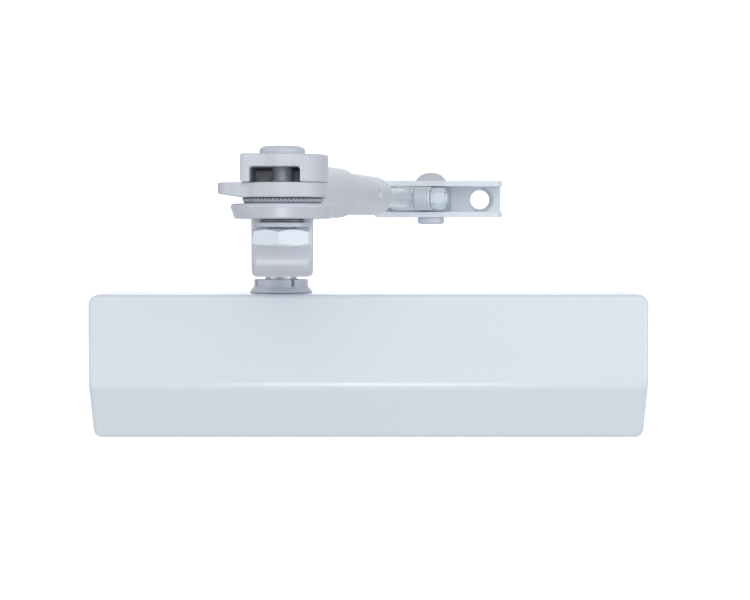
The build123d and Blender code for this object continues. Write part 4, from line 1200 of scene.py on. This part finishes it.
class CLOSER_OT_stage(bpy.types.Operator):
    """Pale seamless floor, soft lights and the camera"""

    bl_idname = "closer.stage"
    bl_label = "Stage"

    def execute(self, context):
        self.floor()
        self.surroundings(context)
        for settings in LIGHTS:
            self.light(*settings)
        self.camera(context)
        return {"FINISHED"}

    def floor(self):
        """Floor that sweeps up behind the object."""
        bm = bmesh.new()
        wide = 4.0
        deep = 2.2
        drop = -0.8
        sweep = 0.7
        profile = [(-wide, drop), (deep, drop), (deep, wide)]
        verts = [bm.verts.new((-wide, y, z)) for y, z in profile]
        for pair in zip(verts, verts[1:]):
            bm.edges.new(pair)
        round_corners(bm, [1], sweep, segments=16)
        grown = bmesh.ops.extrude_edge_only(bm, edges=bm.edges[:])
        moved = [v for v in grown["geom"] if isinstance(v, bmesh.types.BMVert)]
        bmesh.ops.translate(bm, verts=moved, vec=(2 * wide, 0, 0))
        bmesh.ops.recalc_face_normals(bm, faces=bm.faces)
        floor = body_of_mesh(bm, "floor")
        floor.data.shade_smooth()
        material, _, shader = blank_material("pale_floor", 0.0, 0.9)
        shader.inputs["Base Color"].default_value = (0.66, 0.665, 0.67, 1)
        floor.data.materials.append(material)

    def surroundings(self, context):
        """Even white surroundings."""
        world = bpy.data.worlds.new("surroundings")
        world.use_nodes = True
        sky = world.node_tree.nodes["Background"]
        sky.inputs["Color"].default_value = (0.97, 0.985, 1.0, 1)
        sky.inputs["Strength"].default_value = 0.66
        context.scene.world = world
        context.scene.view_settings.view_transform = "Standard"

    def light(self, name, place, target, size, energy):
        """A square soft light that faces a target."""
        lamp = bpy.data.lights.new(name, "AREA")
        lamp.shape = "SQUARE"
        lamp.size = size
        lamp.energy = energy
        obj = bpy.data.objects.new(name, lamp)
        obj.location = place
        aim = Vector(target) - Vector(place)
        obj.rotation_euler = aim.to_track_quat("-Z", "Y").to_euler()
        bpy.context.scene.collection.objects.link(obj)

    def camera(self, context):
        """A long lens in front of the cover, a little above it."""
        lens = bpy.data.cameras.new("camera")
        lens.lens = 89.9
        lens.sensor_width = 36
        distance = 0.8
        dip = 2.1
        camera = bpy.data.objects.new("camera", lens)
        camera.location = (0.0028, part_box("cover")[0][1] - distance, 0.0585)
        camera.rotation_euler = (radians(90 - dip), 0, 0)
        context.scene.collection.objects.link(camera)
        context.scene.camera = camera


# ---------------------------------------------------------------- panel and registration


class CLOSER_PT_panel(bpy.types.Panel):
    """Lists the closer's pieces in the sidebar"""

    bl_idname = "CLOSER_PT_panel"
    bl_label = "Door Closer"
    bl_space_type = "VIEW_3D"
    bl_region_type = "UI"
    bl_category = "Door Closer"

    def draw(self, context):
        for settings in (context.scene.closer_sizes, context.scene.closer_colours):
            for name in settings.__annotations__:
                self.layout.prop(settings, name)
        for operator in OPERATORS:
            self.layout.operator(operator.bl_idname)


OPERATORS = (
    CLOSER_OT_inner_pieces,
    CLOSER_OT_cover,
    CLOSER_OT_pinion_top,
    CLOSER_OT_main_arm,
    CLOSER_OT_elbow,
    CLOSER_OT_forearm,
    CLOSER_OT_rod,
    CLOSER_OT_bracket,
    CLOSER_OT_stage,
)
CLASSES = (CloserSizes, CloserColours, *OPERATORS, CLOSER_PT_panel)


def register():
    """Registers every class and the two groups of settings."""
    for cls in CLASSES:
        bpy.utils.register_class(cls)
    bpy.types.Scene.closer_sizes = PointerProperty(type=CloserSizes)
    bpy.types.Scene.closer_colours = PointerProperty(type=CloserColours)


def unregister():
    """Removes the settings and every class."""
    del bpy.types.Scene.closer_colours
    del bpy.types.Scene.closer_sizes
    for cls in reversed(CLASSES):
        bpy.utils.unregister_class(cls)


def main():
    """Builds the whole closer and its stage."""
    register()
    bpy.ops.closer.inner_pieces()
    bpy.ops.closer.cover()
    bpy.ops.closer.pinion_top()
    bpy.ops.closer.main_arm()
    bpy.ops.closer.elbow()
    bpy.ops.closer.forearm()
    bpy.ops.closer.rod()
    bpy.ops.closer.bracket()
    bpy.ops.closer.stage()


if __name__ == "__main__":
    main()
